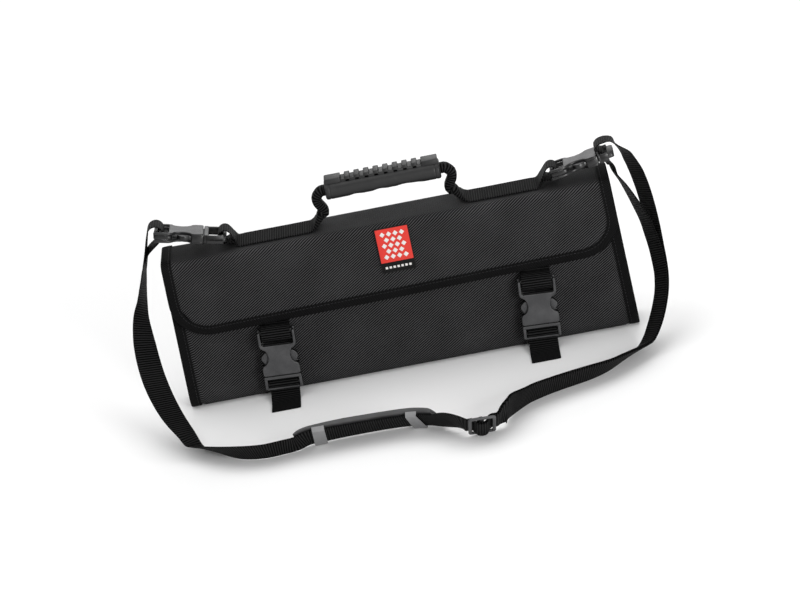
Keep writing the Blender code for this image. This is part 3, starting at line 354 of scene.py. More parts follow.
# Lighter copy of the black buckle plastic: painted light on the buckles' broad faces and on the slider.
PLASTIC_PAINTED_LIGHT = MouldedFinish("buckle_plastic_painted_light", (0.040, 0.040, 0.042), (0.070, 0.070, 0.072), 0.48, 0.6)
GRIP_MOULD = MouldedFinish("grip_rubber", (0.0025, 0.0025, 0.0027), (0.007, 0.007, 0.0075), 0.5, 0.3, 1800.0)
PAD_MOULD = MouldedFinish("pad_rubber", (0.038, 0.038, 0.039), (0.060, 0.060, 0.061), 0.55, 0.5, 1500.0)
BRIDGE_MOULD = MouldedFinish("bridge_rubber", (0.18, 0.18, 0.183), (0.22, 0.22, 0.223), 0.5, 0.4, 1500.0)


# Modelling


def pick_only(item: bpy.types.Object) -> None:
    """Deselect everything, then select one object and make it active."""
    bpy.ops.object.select_all(action="DESELECT")
    item.select_set(True)
    bpy.context.view_layer.objects.active = item


def apply_modifier(item: bpy.types.Object, kind: str, **settings: object) -> None:
    """Add a modifier and apply it.

    Args:
        item: The object that it shapes.
        kind: The modifier's type.
        settings: The modifier's values.
    """
    pick_only(item)
    modifier = item.modifiers.new(kind.lower(), kind)
    for title, value in settings.items():
        setattr(modifier, title, value)
    bpy.ops.object.modifier_apply(modifier=modifier.name)


def face_outwards(item: bpy.types.Object) -> None:
    """Merge an object's doubles, then turn all its faces outwards."""
    pick_only(item)
    bpy.ops.object.mode_set(mode="EDIT")
    bpy.ops.mesh.select_all(action="SELECT")
    bpy.ops.mesh.remove_doubles(threshold=0.000005)
    bpy.ops.mesh.normals_make_consistent(inside=False)
    bpy.ops.object.mode_set(mode="OBJECT")


def shaped_grid(name: str, columns: int, rows: int, place: Place, tube: bool = False) -> bpy.types.Object:
    """Add a grid and shape it into a sheet, or into a tube with closed ends.

    Args:
        name: The new object's name.
        columns: Faces along the first share.
        rows: Faces along the second share.
        place: Gives the point and the cloth coordinates in metres at two shares from 0 to 1.
        tube: True joins the first share's two ends and closes the tube's mouths.

    Returns:
        The new object, with a UV map in metres.
    """
    bpy.ops.object.select_all(action="DESELECT")
    bpy.ops.mesh.primitive_grid_add(x_subdivisions=columns, y_subdivisions=rows, size=1.0)
    item = bpy.context.object
    item.name = name
    mesh = item.data
    layer = mesh.uv_layers[0]
    layer.name = "metres"
    coordinates = []
    for vertex in mesh.vertices:
        point, cloth = place(vertex.co.x + 0.5, vertex.co.y + 0.5)
        coordinates.append(cloth)
        vertex.co = point
    for loop in mesh.loops:
        layer.data[loop.index].uv = coordinates[loop.vertex_index]
    if tube:
        pick_only(item)
        bpy.ops.object.mode_set(mode="EDIT")
        bpy.ops.mesh.select_all(action="SELECT")
        bpy.ops.mesh.remove_doubles(threshold=0.000005)
        bpy.ops.mesh.fill_holes(sides=0)
        bpy.ops.object.mode_set(mode="OBJECT")
        face_outwards(item)
    return item


def cut_plate(name: str, outlines: Sequence[Sequence[Point]], thickness: float, edge: float) -> bpy.types.Object:
    """Make a plate with round edges from flat outlines in (across, along).

    Args:
        name: The new object's name.
        outlines: Closed outlines, the first outside the others, which are its holes.
        thickness: The plate's thickness, along Y.
        edge: The radius of its round edges.

    Returns:
        The plate, with its outlines' first axis along X and the second along Z.
    """
    curve = bpy.data.curves.new(name, "CURVE")
    curve.dimensions = "2D"
    curve.fill_mode = "BOTH"
    curve.extrude = thickness / 2 - edge
    curve.bevel_depth = edge
    curve.bevel_resolution = 2
    curve.offset = -edge
    for outline in outlines:
        spline = curve.splines.new("POLY")
        spline.points.add(len(outline) - 1)
        for point, (x, z) in zip(spline.points, outline):
            point.co = (x, z, 0.0, 1.0)
        spline.use_cyclic_u = True
    item = bpy.data.objects.new(name, curve)
    bpy.context.scene.collection.objects.link(item)
    pick_only(item)
    bpy.ops.object.convert(target="MESH")
    item.data.transform(Matrix.Rotation(math.radians(90), 4, "X"))
    face_outwards(item)
    return item


def rounded_block(name: str, low: Vector, high: Vector, edge: float) -> bpy.types.Object:
    """Add a block between two corners and bevel all its edges.

    Args:
        name: The new object's name.
        low: Its lowest corner.
        high: Its highest corner.
        edge: The bevel's width.

    Returns:
        The block.
    """
    bpy.ops.object.select_all(action="DESELECT")
    bpy.ops.mesh.primitive_cube_add(size=1.0)
    item = bpy.context.object
    item.name = name
    for vertex in item.data.vertices:
        vertex.co = [low[i] if vertex.co[i] < 0 else high[i] for i in range(3)]
    bpy.ops.object.mode_set(mode="EDIT")
    bpy.ops.mesh.select_all(action="SELECT")
    bpy.ops.mesh.bevel(offset=edge, segments=2, affect="EDGES")
    bpy.ops.object.mode_set(mode="OBJECT")
    return item


def join(name: str, items: Sequence[bpy.types.Object]) -> bpy.types.Object:
    """Join objects into the first one and name the result.

    Args:
        name: The joined object's name.
        items: The objects to join.

    Returns:
        The joined object.
    """
    bpy.ops.object.select_all(action="DESELECT")
    for item in items:
        item.select_set(True)
    bpy.context.view_layer.objects.active = items[0]
    if len(items) > 1:
        bpy.ops.object.join()
    items[0].name = name
    return items[0]


def finish_piece(
    item: bpy.types.Object, finish: Finish, nodes: Sequence[str] = (), angle: float = 35.0
) -> bpy.types.Object:
    """Shade a finished piece, give it its material and tie it to the model.

    Args:
        item: The piece.
        finish: Its finish.
        nodes: The CAD nodes that it stands for.
        angle: Edges sharper than this, in degrees, stay crisp.

    Returns:
        The piece.
    """
    pick_only(item)
    bpy.ops.object.transform_apply(location=True, rotation=True, scale=True)
    bpy.ops.object.shade_smooth_by_angle(angle=math.radians(angle))
    item.data.materials.clear()
    item.data.materials.append(finish.material())
    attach(item, "root")
    if nodes:
        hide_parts(*nodes)
    LOG.info("%s: %d faces, %s", item.name, len(item.data.polygons), finish.name)
    return item


def copied_node(node: str, name: str, edge: float) -> bpy.types.Object:
    """Copy a CAD node's mesh, merge it into one skin and round its sharp edges.

    Args:
        node: The CAD node's name.
        name: The copy's name.
        edge: The radius of its rounded edges.

    Returns:
        The new object.
    """
    item = bpy.data.objects.new(name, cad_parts[node].data.copy())
    bpy.context.scene.collection.objects.link(item)
    face_outwards(item)
    bpy.ops.object.mode_set(mode="EDIT")
    bpy.ops.mesh.select_all(action="SELECT")
    bpy.ops.mesh.dissolve_limited(angle_limit=math.radians(1.0))
    bpy.ops.object.mode_set(mode="OBJECT")
    angle = math.radians(28)
    apply_modifier(item, "BEVEL", width=edge, segments=2, limit_method="ANGLE", angle_limit=angle)
    return item


def arc(centre: Point, radius: float, start: float, end: float, steps: int) -> list[Point]:
    """Points round a centre.

    Args:
        centre: The centre.
        radius: The radius.
        start: The first angle, in degrees.
        end: The last angle, in degrees.
        steps: The steps between them.

    Returns:
        The points, both ends among them.
    """
    points = []
    for i in range(steps + 1):
        angle = math.radians(start + (end - start) * i / steps)
        points.append((centre[0] + radius * math.cos(angle), centre[1] + radius * math.sin(angle)))
    return points


def rounded_rectangle(width: float, low: float, high: float, radius: float) -> list[Point]:
    """Outline of a rectangle with round corners, between two heights."""
    half = width / 2 - radius
    outline = []
    for x, z, start in ((half, low + radius, -90), (half, high - radius, 0), (-half, high - radius, 90), (-half, low + radius, 180)):
        outline.extend(arc((x, z), radius, start, start + 90, 4))
    return outline


def mix(start: float, end: float, share: float) -> float:
    """A value between two others."""
    return start + (end - start) * share


def waves(x: float, y: float, size: float, seed: float) -> float:
    """Smooth unevenness from -1 to 1.

    Args:
        x: First cloth coordinate, in metres.
        y: Second cloth coordinate, in metres.
        size: The waves' size, in metres.
        seed: Tells one piece's waves from another's.

    Returns:
        The height of the waves.
    """
    return noise.noise(Vector((x / size, y / size, seed)))


class Line:
    """A smooth line through points, read by the distance along it."""

    def __init__(self, points: Sequence[Vector]) -> None:
        """Measure the line.

        Args:
            points: The line's points.
        """
        self.points = [Vector(point) for point in points]
        self.lengths = [0.0]
        for near, far in zip(self.points, self.points[1:]):
            self.lengths.append(self.lengths[-1] + (far - near).length)

    @property
    def total(self) -> float:
        """The line's length."""
        return self.lengths[-1]

    def place(self, distance: float) -> tuple[int, float]:
        """The span and the share of it at a distance along the line."""
        distance = min(max(distance, 0.0), self.total)
        low, high = 0, len(self.lengths) - 2
        while low < high:
            middle = (low + high + 1) // 2
            if self.lengths[middle] <= distance:
                low = middle
            else:
                high = middle - 1
        span = max(self.lengths[low + 1] - self.lengths[low], 1e-9)
        return low, min(1.0, (distance - self.lengths[low]) / span)

    def at(self, distance: float) -> Vector:
        """The point at a distance along the line."""
        i, share = self.place(distance)
        return self.points[i].lerp(self.points[i + 1], share)

    def ahead(self, distance: float, reach: float = 0.002) -> Vector:
        """The line's direction at a distance along it."""
        return (self.at(distance + reach) - self.at(distance - reach)).normalized()


# Stitching


@dataclass
class Stitching:
    """Rows of lockstitch, each stitch a short thread that dips into the cloth at its ends."""

    length: float = 0.0026
    pitch: float = 0.0036
    thickness: float = 0.00055
    rows: list[tuple[Vector, Vector, Vector]] = field(default_factory=list)

    def run(self, points: Sequence[Vector], normals: Sequence[Vector]) -> None:
        """Lay stitches along a line on a surface.

        Args:
            points: The seam's points, on the surface.
            normals: The surface's outward normal at each point.
        """
        line, ways = Line(points), Line(normals)
        count = int(line.total / self.pitch)
        for i in range(count):
            distance = (i + 0.5) * line.total / count
            span, share = line.place(distance)
            normal = ways.points[span].lerp(ways.points[span + 1], share).normalized()
            self.rows.append((line.at(distance), line.ahead(distance), normal))

    def build(self, name: str, slot: str) -> bpy.types.Object:
        """Model one stitch and copy it to every place.

        Args:
            name: The new object's name.
            slot: Not used.

        Returns:
            The stitches as one object.
        """
        bpy.ops.object.select_all(action="DESELECT")
        bpy.ops.mesh.primitive_uv_sphere_add(segments=8, ring_count=6, radius=0.5)
        item = bpy.context.object
        shape = [vertex.co.copy() for vertex in item.data.vertices]
        skin = [tuple(face.vertices) for face in item.data.polygons]
        points, faces = [], []
        for centre, ahead, normal in self.rows:
            side = normal.cross(ahead).normalized()
            up = ahead.cross(side).normalized()
            offset = len(points)
            for corner in shape:
                points.append(
                    centre
                    + side * corner.x * self.thickness
                    + up * corner.y * self.thickness * 0.9
                    + ahead * corner.z * self.length
                )
            faces.extend(tuple(offset + index for index in face) for face in skin)
        mesh = bpy.data.meshes.new(name)
        mesh.from_pydata(points, [], faces)
        mesh.uv_layers.new(name="metres")
        old = item.data
        item.data = mesh
        item.name = name
        bpy.data.meshes.remove(old)
        face_outwards(item)
        return finish_piece(item, THREAD, angle=80)


# The roll's own form


@dataclass
class RollForm:
    """Sizes of the roll that its cover, its flap and their tapes share."""

    length: float = 0.464
    top_length: float = 0.453
    depth: float = 0.040
    height: float = 0.1645
    foot: float = 0.018
    bend: float = 0.019
    wall: float = 0.0024
    swell: float = 0.0022
    rim_turn: float = 0.0035
    rim_height: float = 0.0048
    tape_width: float = 0.0095
    tape_thick: float = 0.0009
    web_thick: float = 0.0014
    closure_spacing: float = 0.267
    buckle_width: float = 0.038
    label_height: float = 0.0495
    label_drop: float = 0.0028
    flap_bend: float = 0.006
    flap_hem: float = 0.022
    flap_corner: float = 0.040
    flap_drop_left: float = 0.083
    flap_drop_right: float = 0.076

    @property
    def rebate(self) -> float:
        """How far the tape stands off what it binds."""
        return self.tape_thick + GAP

    @property
    def flap_front(self) -> float:
        """Distance of the flap's middle surface to the front of the roll's middle."""
        return self.depth / 2 + GAP + self.web_thick + GAP + self.rebate + self.wall / 2

    @property
    def flap_back(self) -> float:
        """Distance of the flap's middle surface to the back of the roll's middle."""
        return self.depth / 2 + GAP + self.rebate + self.wall / 2

    @property
    def flap_top(self) -> float:
        """Height of the flap's middle surface."""
        return self.height + GAP + self.rebate + self.wall / 2

    def half_length(self, z: float) -> float:
        """Half the roll's length at a height."""
        return mix(self.length, self.top_length, z / self.height) / 2

    def swell_at(self, x: float, z: float) -> float:
        """How far the front stands out between the two closures."""
        reach = (self.closure_spacing - 1.5 * self.buckle_width) / 2
        top = self.flap_top - self.label_drop - self.label_height - 0.5 * self.flap_bend
        if abs(x) >= reach or not self.bend < z < top:
            return 0.0
        along = math.cos(math.pi / 2 * x / reach) ** 2
        return self.swell * along * math.sin(math.pi * (z - self.bend) / (top - self.bend)) ** 2

    def trough(self, inset: float) -> Line:
        """The cover's outer face from the front's top round under to the back's, as (0, y, z)."""
        half = self.depth / 2 - inset
        straight = self.height - self.rim_height
        front = [(0.0, self.rim_turn - half, self.height)]
        front += [(0.0, -half, mix(self.bend, straight, 1 - step / 8)) for step in range(9)]
        for step in range(1, 13):
            angle = math.radians(7.5 * step)
            y = -self.foot / 2 - (half - self.foot / 2) * math.cos(angle)
            front.append((0.0, y, self.bend - (self.bend - inset) * math.sin(angle)))
        return Line([Vector(point) for point in front + [(x, -y, z) for x, y, z in front[::-1]]])

    def flap_edge(self, x: float) -> float:
        """Height of the flap's lower edge before its corners are rounded."""
        drop = mix(self.flap_drop_left, self.flap_drop_right, x / self.length + 0.5)
        return self.flap_top - drop

    def flap_line(self, edge: float) -> list[tuple[Vector, Vector]]:
        """The flap's middle surface from its hem to its edge.

        Args:
            edge: Height of the flap's lower edge in this column.

        Returns:
            Points and outer normals in the YZ plane.
        """
        low = self.flap_top - self.flap_bend
        back, front = self.flap_back - self.flap_bend, self.flap_bend - self.flap_front
        hem = self.flap_top - self.flap_hem
        rows = [(Vector((0, self.flap_back, mix(hem, low, i / 5))), Vector((0, 1, 0))) for i in range(5)]
        for y, z in arc((0, 0), 1.0, 0, 90, 6):
            rows.append((Vector((0, back + self.flap_bend * y, low + self.flap_bend * z)), Vector((0, y, z))))
        for i in range(1, 9):
            rows.append((Vector((0, mix(back, front, i / 9), self.flap_top)), Vector((0, 0, 1))))
        for y, z in arc((0, 0), 1.0, 90, 180, 6):
            rows.append((Vector((0, front + self.flap_bend * y, low + self.flap_bend * z)), Vector((0, y, z))))
        for i in range(1, 25):
            rows.append((Vector((0, -self.flap_front, mix(low, edge, i / 24))), Vector((0, -1, 0))))
        return rows


@dataclass
class Cover:
    """The outer cover of the roll with its two closed ends and their bindings."""

    form: RollForm
    hollow: float = 0.0025
    columns: int = 150
    rows: int = 96

    def sag(self, x: float, z: float, away: float) -> float:
        """How far the cloth sinks in, between seams that hold it.

        Args:
            x: Place along the roll.
            z: Height.
            away: Distance to the nearest seam.

        Returns:
            The depth of the cloth's waves there.
        """
        hold = min(1.0, max(0.0, away / 0.03))
        broad = 0.5 + 0.5 * waves(x, z, 0.075, 3.0)
        fine = 0.5 + 0.5 * waves(x, 0.6 * z, 0.024, 7.0)
        return hold * (0.0009 * broad + 0.00035 * fine)

    def build(self) -> None:
        """Build the cover, its end panels and their bindings."""
        form = self.form
        outer, inset = form.trough(0.0), form.trough(form.rebate)

        def place(share: float, turn: float) -> tuple[Vector, Point]:
            side = 2 * share - 1
            point = outer.at(turn * outer.total)
            half = form.half_length(point.z) - form.rebate
            x = side * half
            seam = half - abs(x)
            bound = max(0.0, min(1.0, 1 - (seam - form.tape_width) / 0.0012))
            point = point.lerp(inset.at(turn * inset.total), bound)
            near = min(seam - form.tape_width, 0.6 * point.z, form.height - point.z)
            deep = self.sag(x, point.z + point.y, near)
            front = -1.0 if point.y < 0 else 1.0
            if point.z > form.foot / 2:
                point.y -= front * deep
            if front < 0:
                point.y -= form.swell_at(x, point.z)
            return Vector((x, point.y, point.z)), (x, turn * outer.total)

        cover = shaped_grid("roll_cover", self.columns, self.rows, place)
        face_outwards(cover)
        apply_modifier(cover, "SOLIDIFY", thickness=form.wall, offset=-1.0, use_even_offset=True)
        face_outwards(cover)
        finish_piece(cover, NYLON, ["body"])
        for side in Side:
            self.build_end(side)
            self.build_binding(side)

    def build_end(self, side: Side) -> None:
        """Build the panel that closes one end, a little hollow between its seams."""
        form = self.form
        line = form.trough(form.rebate + 0.0006)
        half_points = [line.at(line.total * i / 240) for i in range(121)]

        def width_at(z: float) -> float:
            near = min(half_points, key=lambda point: abs(point.z - z))
            return abs(near.y)

        def place(across: float, up: float) -> tuple[Vector, Point]:
            z = mix(form.rebate, form.height - 0.0004, up)
            y = (2 * across - 1) * width_at(z)
            seam = min(width_at(z) - abs(y), 0.8 * z)
            sunk = min(1.0, seam / (0.7 * form.tape_width)) ** 2
            x = form.half_length(z) - form.rebate - self.hollow * sunk
            x -= 0.0006 * waves(y, z, 0.05, 11.0 + side.value) * sunk
            return Vector((side.value * x, y, z)), (y, z)

        panel = shaped_grid(f"end_panel_{side.word}", 14, 60, place)
        apply_modifier(panel, "SOLIDIFY", thickness=0.0012, offset=0.0, use_even_offset=True)
        face_outwards(panel)
        finish_piece(panel, NYLON)

    def build_binding(self, side: Side) -> None:
        """Build the tape over one end's seam, and its stitches."""
        form = self.form
        path = form.trough(0.0)
        tape = form.tape_thick
        face, lip = form.tape_width, form.tape_width
        low = form.rebate - tape
        bend = 0.0011
        profile = [Vector((-face, 0.0, 0.0)), Vector((-0.5 * face, -0.00015, 0.0))]
        for a, b in arc((form.rebate - bend, bend), bend, -90, 0, 5):
            profile.append(Vector((a, b, 0.0)))
        profile += [Vector((form.rebate + 0.0001, 0.5 * lip, 0)), Vector((form.rebate, lip, 0))]
        profile += [Vector((low, lip, 0)), Vector((low, tape + 0.0005, 0))]
        profile += [Vector((low - 0.0005, tape, 0)), Vector((-face, tape, 0))]
        outline = Line(profile + [profile[0]])
        stations = 110

        def frame_at(share: float) -> tuple[Vector, Vector]:
            distance = share * path.total
            ahead = path.ahead(distance)
            return path.at(distance), Vector((0, -ahead.z, ahead.y)) * -1.0

        def place(turn: float, share: float) -> tuple[Vector, Point]:
            at, outward = frame_at(share)
            edge = outline.at(turn * outline.total)
            pucker = 0.00012 * waves(share * path.total, turn * 0.01, 0.006, side.value)
            point = at - outward * (edge.y + pucker)
            point.x = side.value * (form.half_length(point.z) + edge.x)
            return point, (turn * outline.total, share * path.total)

        name = f"end_tape_{side.word}"
        tape_piece = shaped_grid(name, 40, stations, place, tube=True)
        finish_piece(tape_piece, TAPE, [f"body_binding_{side.word}"])
        seam_points, seam_ways = [], []
        for i in range(stations + 1):
            at, outward = frame_at(i / stations)
            point = at + outward * 0.0001
            point.x = side.value * (form.half_length(point.z) - 0.74 * face)
            seam_points.append(point)
            seam_ways.append(outward)
        stitching = Stitching()
        stitching.run(seam_points, seam_ways)
        stitching.build(f"end_tape_stitches_{side.word}", "black_binding_tape")


@dataclass
class Flap:
    """The flap with its round corners, the tape round its edge and the tape's stitches."""

    form: RollForm

    def columns(self) -> list[Point]:
        """Places along the flap, each with the rise of the rounded corner's edge there."""
        form = self.form
        reference = form.half_length(form.flap_top - form.flap_drop_left / 2)
        inner = reference - form.flap_corner
        corner = form.flap_corner
        left = []
        for step in range(16):
            angle = math.radians(90 - 6 * step)
            left.append((-inner - corner * math.sin(angle), corner * (1 - math.cos(angle))))
        middle = [(mix(-inner, inner, i / 88), 0.0) for i in range(89)]
        return left[:-1] + middle + [(-x, rise) for x, rise in left[-2::-1]]

    def surface(self) -> list[list[tuple[Vector, Vector]]]:
        """The flap's middle surface: for each column, its points and outer normals."""
        form = self.form
        reference = form.half_length(form.flap_top - form.flap_drop_left / 2)
        grid = []
        for x, rise in self.columns():
            line = []
            for point, normal in form.flap_line(form.flap_edge(x) + rise):
                at = Vector((x / reference * form.half_length(point.z), point.y, point.z))
                line.append((at, normal))
            grid.append(line)
        return grid

    def sag(self, x: float, z: float, seam: float) -> float:
        """How far the flap's cloth sinks in at a place."""
        hold = min(1.0, max(0.0, seam / 0.035))
        broad = 0.5 + 0.5 * waves(x, z, 0.085, 21.0)
        return hold * (0.0007 * broad + 0.0003 * (0.5 + 0.5 * waves(x, z, 0.028, 5.0)))

    def build(self) -> None:
        """Build the flap, its tape and the tape's stitches."""
        form = self.form
        grid = self.surface()
        columns, rows = len(grid) - 1, len(grid[0]) - 1
        along = Line([Vector((line[20][0].x, 0, 0)) for line in grid])
        downs = [Line([at for at, _ in line]) for line in grid]

        def place(share: float, turn: float) -> tuple[Vector, Point]:
            i, j = round(share * columns), round(turn * rows)
            at, normal = grid[i][j]
            down = downs[i].lengths[j]
            seam = min(downs[i].total - down, along.lengths[i], along.total - along.lengths[i])
            point = at.copy()
            if point.y < 0:
                point.y -= form.swell_at(point.x, point.z)
            point -= normal * self.sag(at.x, down, min(seam - form.tape_width, down))
            return point, (at.x, down)

        flap = shaped_grid("flap_cover", columns, rows, place)
        apply_modifier(flap, "SOLIDIFY", thickness=form.wall, offset=0.0, use_even_offset=True)
        face_outwards(flap)
        finish_piece(flap, NYLON, ["flap"], angle=50)
        self.build_tape(grid)

    def build_tape(self, grid: list[list[tuple[Vector, Vector]]]) -> None:
        """Fold the tape over the flap's free edge and stitch it.

        Args:
            grid: The flap's middle surface.
        """
        form = self.form
        edge = grid[0] + [line[-1] for line in grid[1:-1]] + grid[-1][::-1]
        path = Line([at for at, _ in edge])
        normals = Line([normal for _, normal in edge])
        outer, inner = form.wall / 2 + form.rebate, form.wall / 2 + GAP
        width, rebate = form.tape_width, form.rebate
        fold = arc((-rebate + outer * 0.7, 0), outer * 0.7, 100, 260, 8)
        profile = [Vector((width, outer, 0)), Vector((0.6 * width, outer + 0.00015, 0))]
        profile += [Vector((a, b / 0.7, 0)) for a, b in fold]
        profile += [Vector((width, -outer, 0)), Vector((width, -inner, 0))]
        profile += [Vector((-GAP, -inner, 0)), Vector((-GAP, inner, 0)), Vector((width, inner, 0))]
        outline = Line(profile + [profile[0]])
        stations = 330

        def frame_at(share: float) -> tuple[Vector, Vector, Vector]:
            distance = share * path.total
            span, part = path.place(distance)
            normal = normals.points[span].lerp(normals.points[span + 1], part).normalized()
            ahead = path.ahead(distance, 0.0025)
            return path.at(distance), normal, normal.cross(ahead).normalized()

        def place(turn: float, share: float) -> tuple[Vector, Point]:
            at, normal, inward = frame_at(share)
            section = outline.at(turn * outline.total)
            pucker = 0.00012 * waves(share * path.total, turn * 0.01, 0.006, 31.0)
            lift = section.y + (pucker if section.y > 0 else 0.0)
            point = at + inward * section.x + normal * lift
            if point.y < 0:
                point.y -= form.swell_at(point.x, point.z)
            return point, (turn * outline.total, share * path.total)

        tape = shaped_grid("flap_tape", 44, stations, place, tube=True)
        finish_piece(tape, TAPE, ["flap_binding"], angle=50)
        stitching = Stitching()
        points, ways = [], []
        for i in range(stations + 1):
            at, normal, inward = frame_at(i / stations)
            point = at + inward * 0.74 * width + normal * (outer + 0.0001)
            if point.y < 0:
                point.y -= form.swell_at(point.x, point.z)
            points.append(point)
            ways.append(normal)
        stitching.run(points, ways)
        stitching.build("flap_tape_stitches", "black_binding_tape")


@dataclass
class Label:
    """The sewn label: a red field with a black border and foot, and a lattice of diamonds."""

    border: float = 0.0011
    foot: float = 0.0115
    thickness: float = 0.0009
    across: int = 4
    down: int = 5

    def build(self) -> None:
        """Build the label's cloth, its border, its lattice and its stitches."""
        low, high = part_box("label")
        centre = (low.x + high.x) / 2
        width, height = high.x - low.x, high.z - low.z
        back = high.y

        def cloth(name: str, x0: float, x1: float, z0: float, z1: float, rise: float) -> bpy.types.Object:
            def place(share: float, up: float) -> tuple[Vector, Point]:
                x, z = mix(x0, x1, share), mix(z0, z1, up)
                return Vector((x, back - rise, z)), (x, z)

            piece = shaped_grid(name, 24, 24, place)
            apply_modifier(piece, "SOLIDIFY", thickness=self.thickness, offset=0.0)
            face_outwards(piece)
            pick_only(piece)
            settings = {"width": 0.0002, "segments": 2, "limit_method": "ANGLE"}
            apply_modifier(piece, "BEVEL", **settings)
            return piece

        middle = self.thickness / 2
        ground = cloth("label_border", low.x, high.x, low.z, high.z, middle)
        finish_piece(ground, LABEL_DARK, ["label"])
        edge = self.border
        field_low = low.z + self.foot
        red = cloth("label_field", low.x + edge, high.x - edge, field_low, high.z - edge, middle + 0.00018)
        finish_piece(red, LABEL_CLOTH)
        surface = back - self.thickness - 0.00018
        self.build_lattice(centre, field_low, high.z - edge, width - 2 * edge, surface)
        self.build_foot_marks(centre, low.z, field_low, width, back - self.thickness)
        inset = 0.0006
        corners = [
            Vector((x, back - self.thickness - 0.0001, z))
            for x, z in (
                (low.x + inset, low.z + inset),
                (high.x - inset, low.z + inset),
                (high.x - inset, low.z + height - inset),
                (low.x + inset, low.z + height - inset),
                (low.x + inset, low.z + inset),
            )
        ]
        stitching = Stitching(length=0.0017, pitch=0.0023, thickness=0.00035)
        stitching.run(corners, [Vector((0, -1, 0))] * 5)
        stitching.build("label_stitches", "label_red")

    def build_lattice(self, centre: float, low: float, high: float, width: float, surface: float) -> None:
        """Build the white diamonds, embroidered in a lattice on the red field."""
        step_x, step_z = 0.8 * width / self.across, 0.84 * (high - low) / self.down
        middle = (low + high) / 2
        diamonds = []
        for row in range(self.down):
            shift = 0.0 if row % 2 == 0 else 0.5
            for column in range(self.across - row % 2):
                x = centre + (column + 0.5 + shift - self.across / 2) * step_x
                z = middle + (row + 0.5 - self.down / 2) * step_z
                bpy.ops.object.select_all(action="DESELECT")
                bpy.ops.mesh.primitive_cylinder_add(vertices=4, radius=0.5, depth=0.0005)
                tile = bpy.context.object
                bpy.ops.object.mode_set(mode="EDIT")
                bpy.ops.mesh.select_all(action="SELECT")
                bpy.ops.transform.resize(value=(0.82 * step_x, 0.92 * step_z, 1.0))
                bpy.ops.mesh.bevel(offset=0.00015, segments=2, affect="EDGES")
                bpy.ops.object.mode_set(mode="OBJECT")
                tile.data.transform(Matrix.Rotation(math.radians(90), 4, "X"))
                tile.data.transform(Matrix.Translation((x, surface - 0.0001, z)))
                tile.data.uv_layers[0].name = "metres"
                for loop in tile.data.loops:
                    corner = tile.data.vertices[loop.vertex_index].co
                    tile.data.uv_layers[0].data[loop.index].uv = (corner.x, corner.z)
                diamonds.append(tile)
        finish_piece(join("label_lattice", diamonds), LABEL_WHITE)

    def build_foot_marks(self, centre: float, low: float, high: float, width: float, surface: float) -> None:
        """Build the plain white row of short bars on the label's black foot."""
        count = 7
        step = 0.8 * width / count
        middle = (low + high) / 2
        bars = []
        for number in range(count):
            x = centre + (number + 0.5 - count / 2) * step
            near = Vector((x - 0.30 * step, surface - 0.00028, middle - 0.0012))
            far = Vector((x + 0.30 * step, surface + 0.00012, middle + 0.0012))
            bar = rounded_block("bar", near, far, 0.00012)
            bar.data.uv_layers[0].name = "metres"
            for loop in bar.data.loops:
                corner = bar.data.vertices[loop.vertex_index].co
                bar.data.uv_layers[0].data[loop.index].uv = (corner.x, corner.z)
            bars.append(bar)
        finish_piece(join("label_foot_marks", bars), LABEL_WHITE)


# Webbing


@dataclass
class Station:
    """A place on a webbing."""

    centre: Vector
    across: Vector
    width: float
    thick: float


def read_band(node: str, corners: int) -> list[Station]:
    """Read a CAD webbing's way back from its solid, section by section.

    Args:
        node: The CAD node's name.
        corners: Corners in each of its sections.

    Returns:
        The webbing's stations from one end to the other.
    """
    bm = bmesh.new()
    bm.from_mesh(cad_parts[node].data)
    bmesh.ops.remove_doubles(bm, verts=bm.verts[:], dist=0.00002)
    bm.faces.ensure_lookup_table()

    def layers_from(start: set[bmesh.types.BMVert]) -> list[set[bmesh.types.BMVert]]:
        layers, seen = [start], set(start)
        while True:
            fresh = {e.other_vert(v) for v in layers[-1] for e in v.link_edges} - seen
            if not fresh:
                return layers
            layers.append(fresh)
            seen |= fresh

    sections: list[set[bmesh.types.BMVert]] = []
    for face in bm.faces:
        cap, front = {face}, [face]
        while front:
            near = front.pop()
            for edge in near.edges:
                for other in edge.link_faces:
                    if other not in cap and other.normal.dot(face.normal) > 0.9999:
                        cap.add(other)
                        front.append(other)
        start = {v for f in cap for v in f.verts}
        if len(start) != corners or len(cap) != corners - 2:
            continue
        layers = layers_from(start)
        if all(len(layer) == corners for layer in layers):
            sections = layers
            break
    if not sections:
        raise RuntimeError(f"{node} has no readable end")
    stations: list[Station] = []
    previous = None
    for layer in sections:
        points = [v.co.copy() for v in layer]
        centre = sum(points, Vector()) / len(points)
        far = max(points, key=lambda point: (point - centre).length)
        across = (far - centre).normalized()
        for _ in range(3):
            # The widest direction is the mean of the corners' offsets, each turned to one side
            total = Vector()
            for point in points:
                offset = point - centre
                total += offset if offset.dot(across) > 0 else -offset
            across = total.normalized()
        if previous is not None and across.dot(previous) < 0:
            across = -across
        previous = across
        width = 2 * max(abs((point - centre).dot(across)) for point in points)
        rest = [(point - centre) - across * (point - centre).dot(across) for point in points]
        stations.append(Station(centre, across, width, 2 * max(v.length for v in rest)))
    bm.free()
    return stations


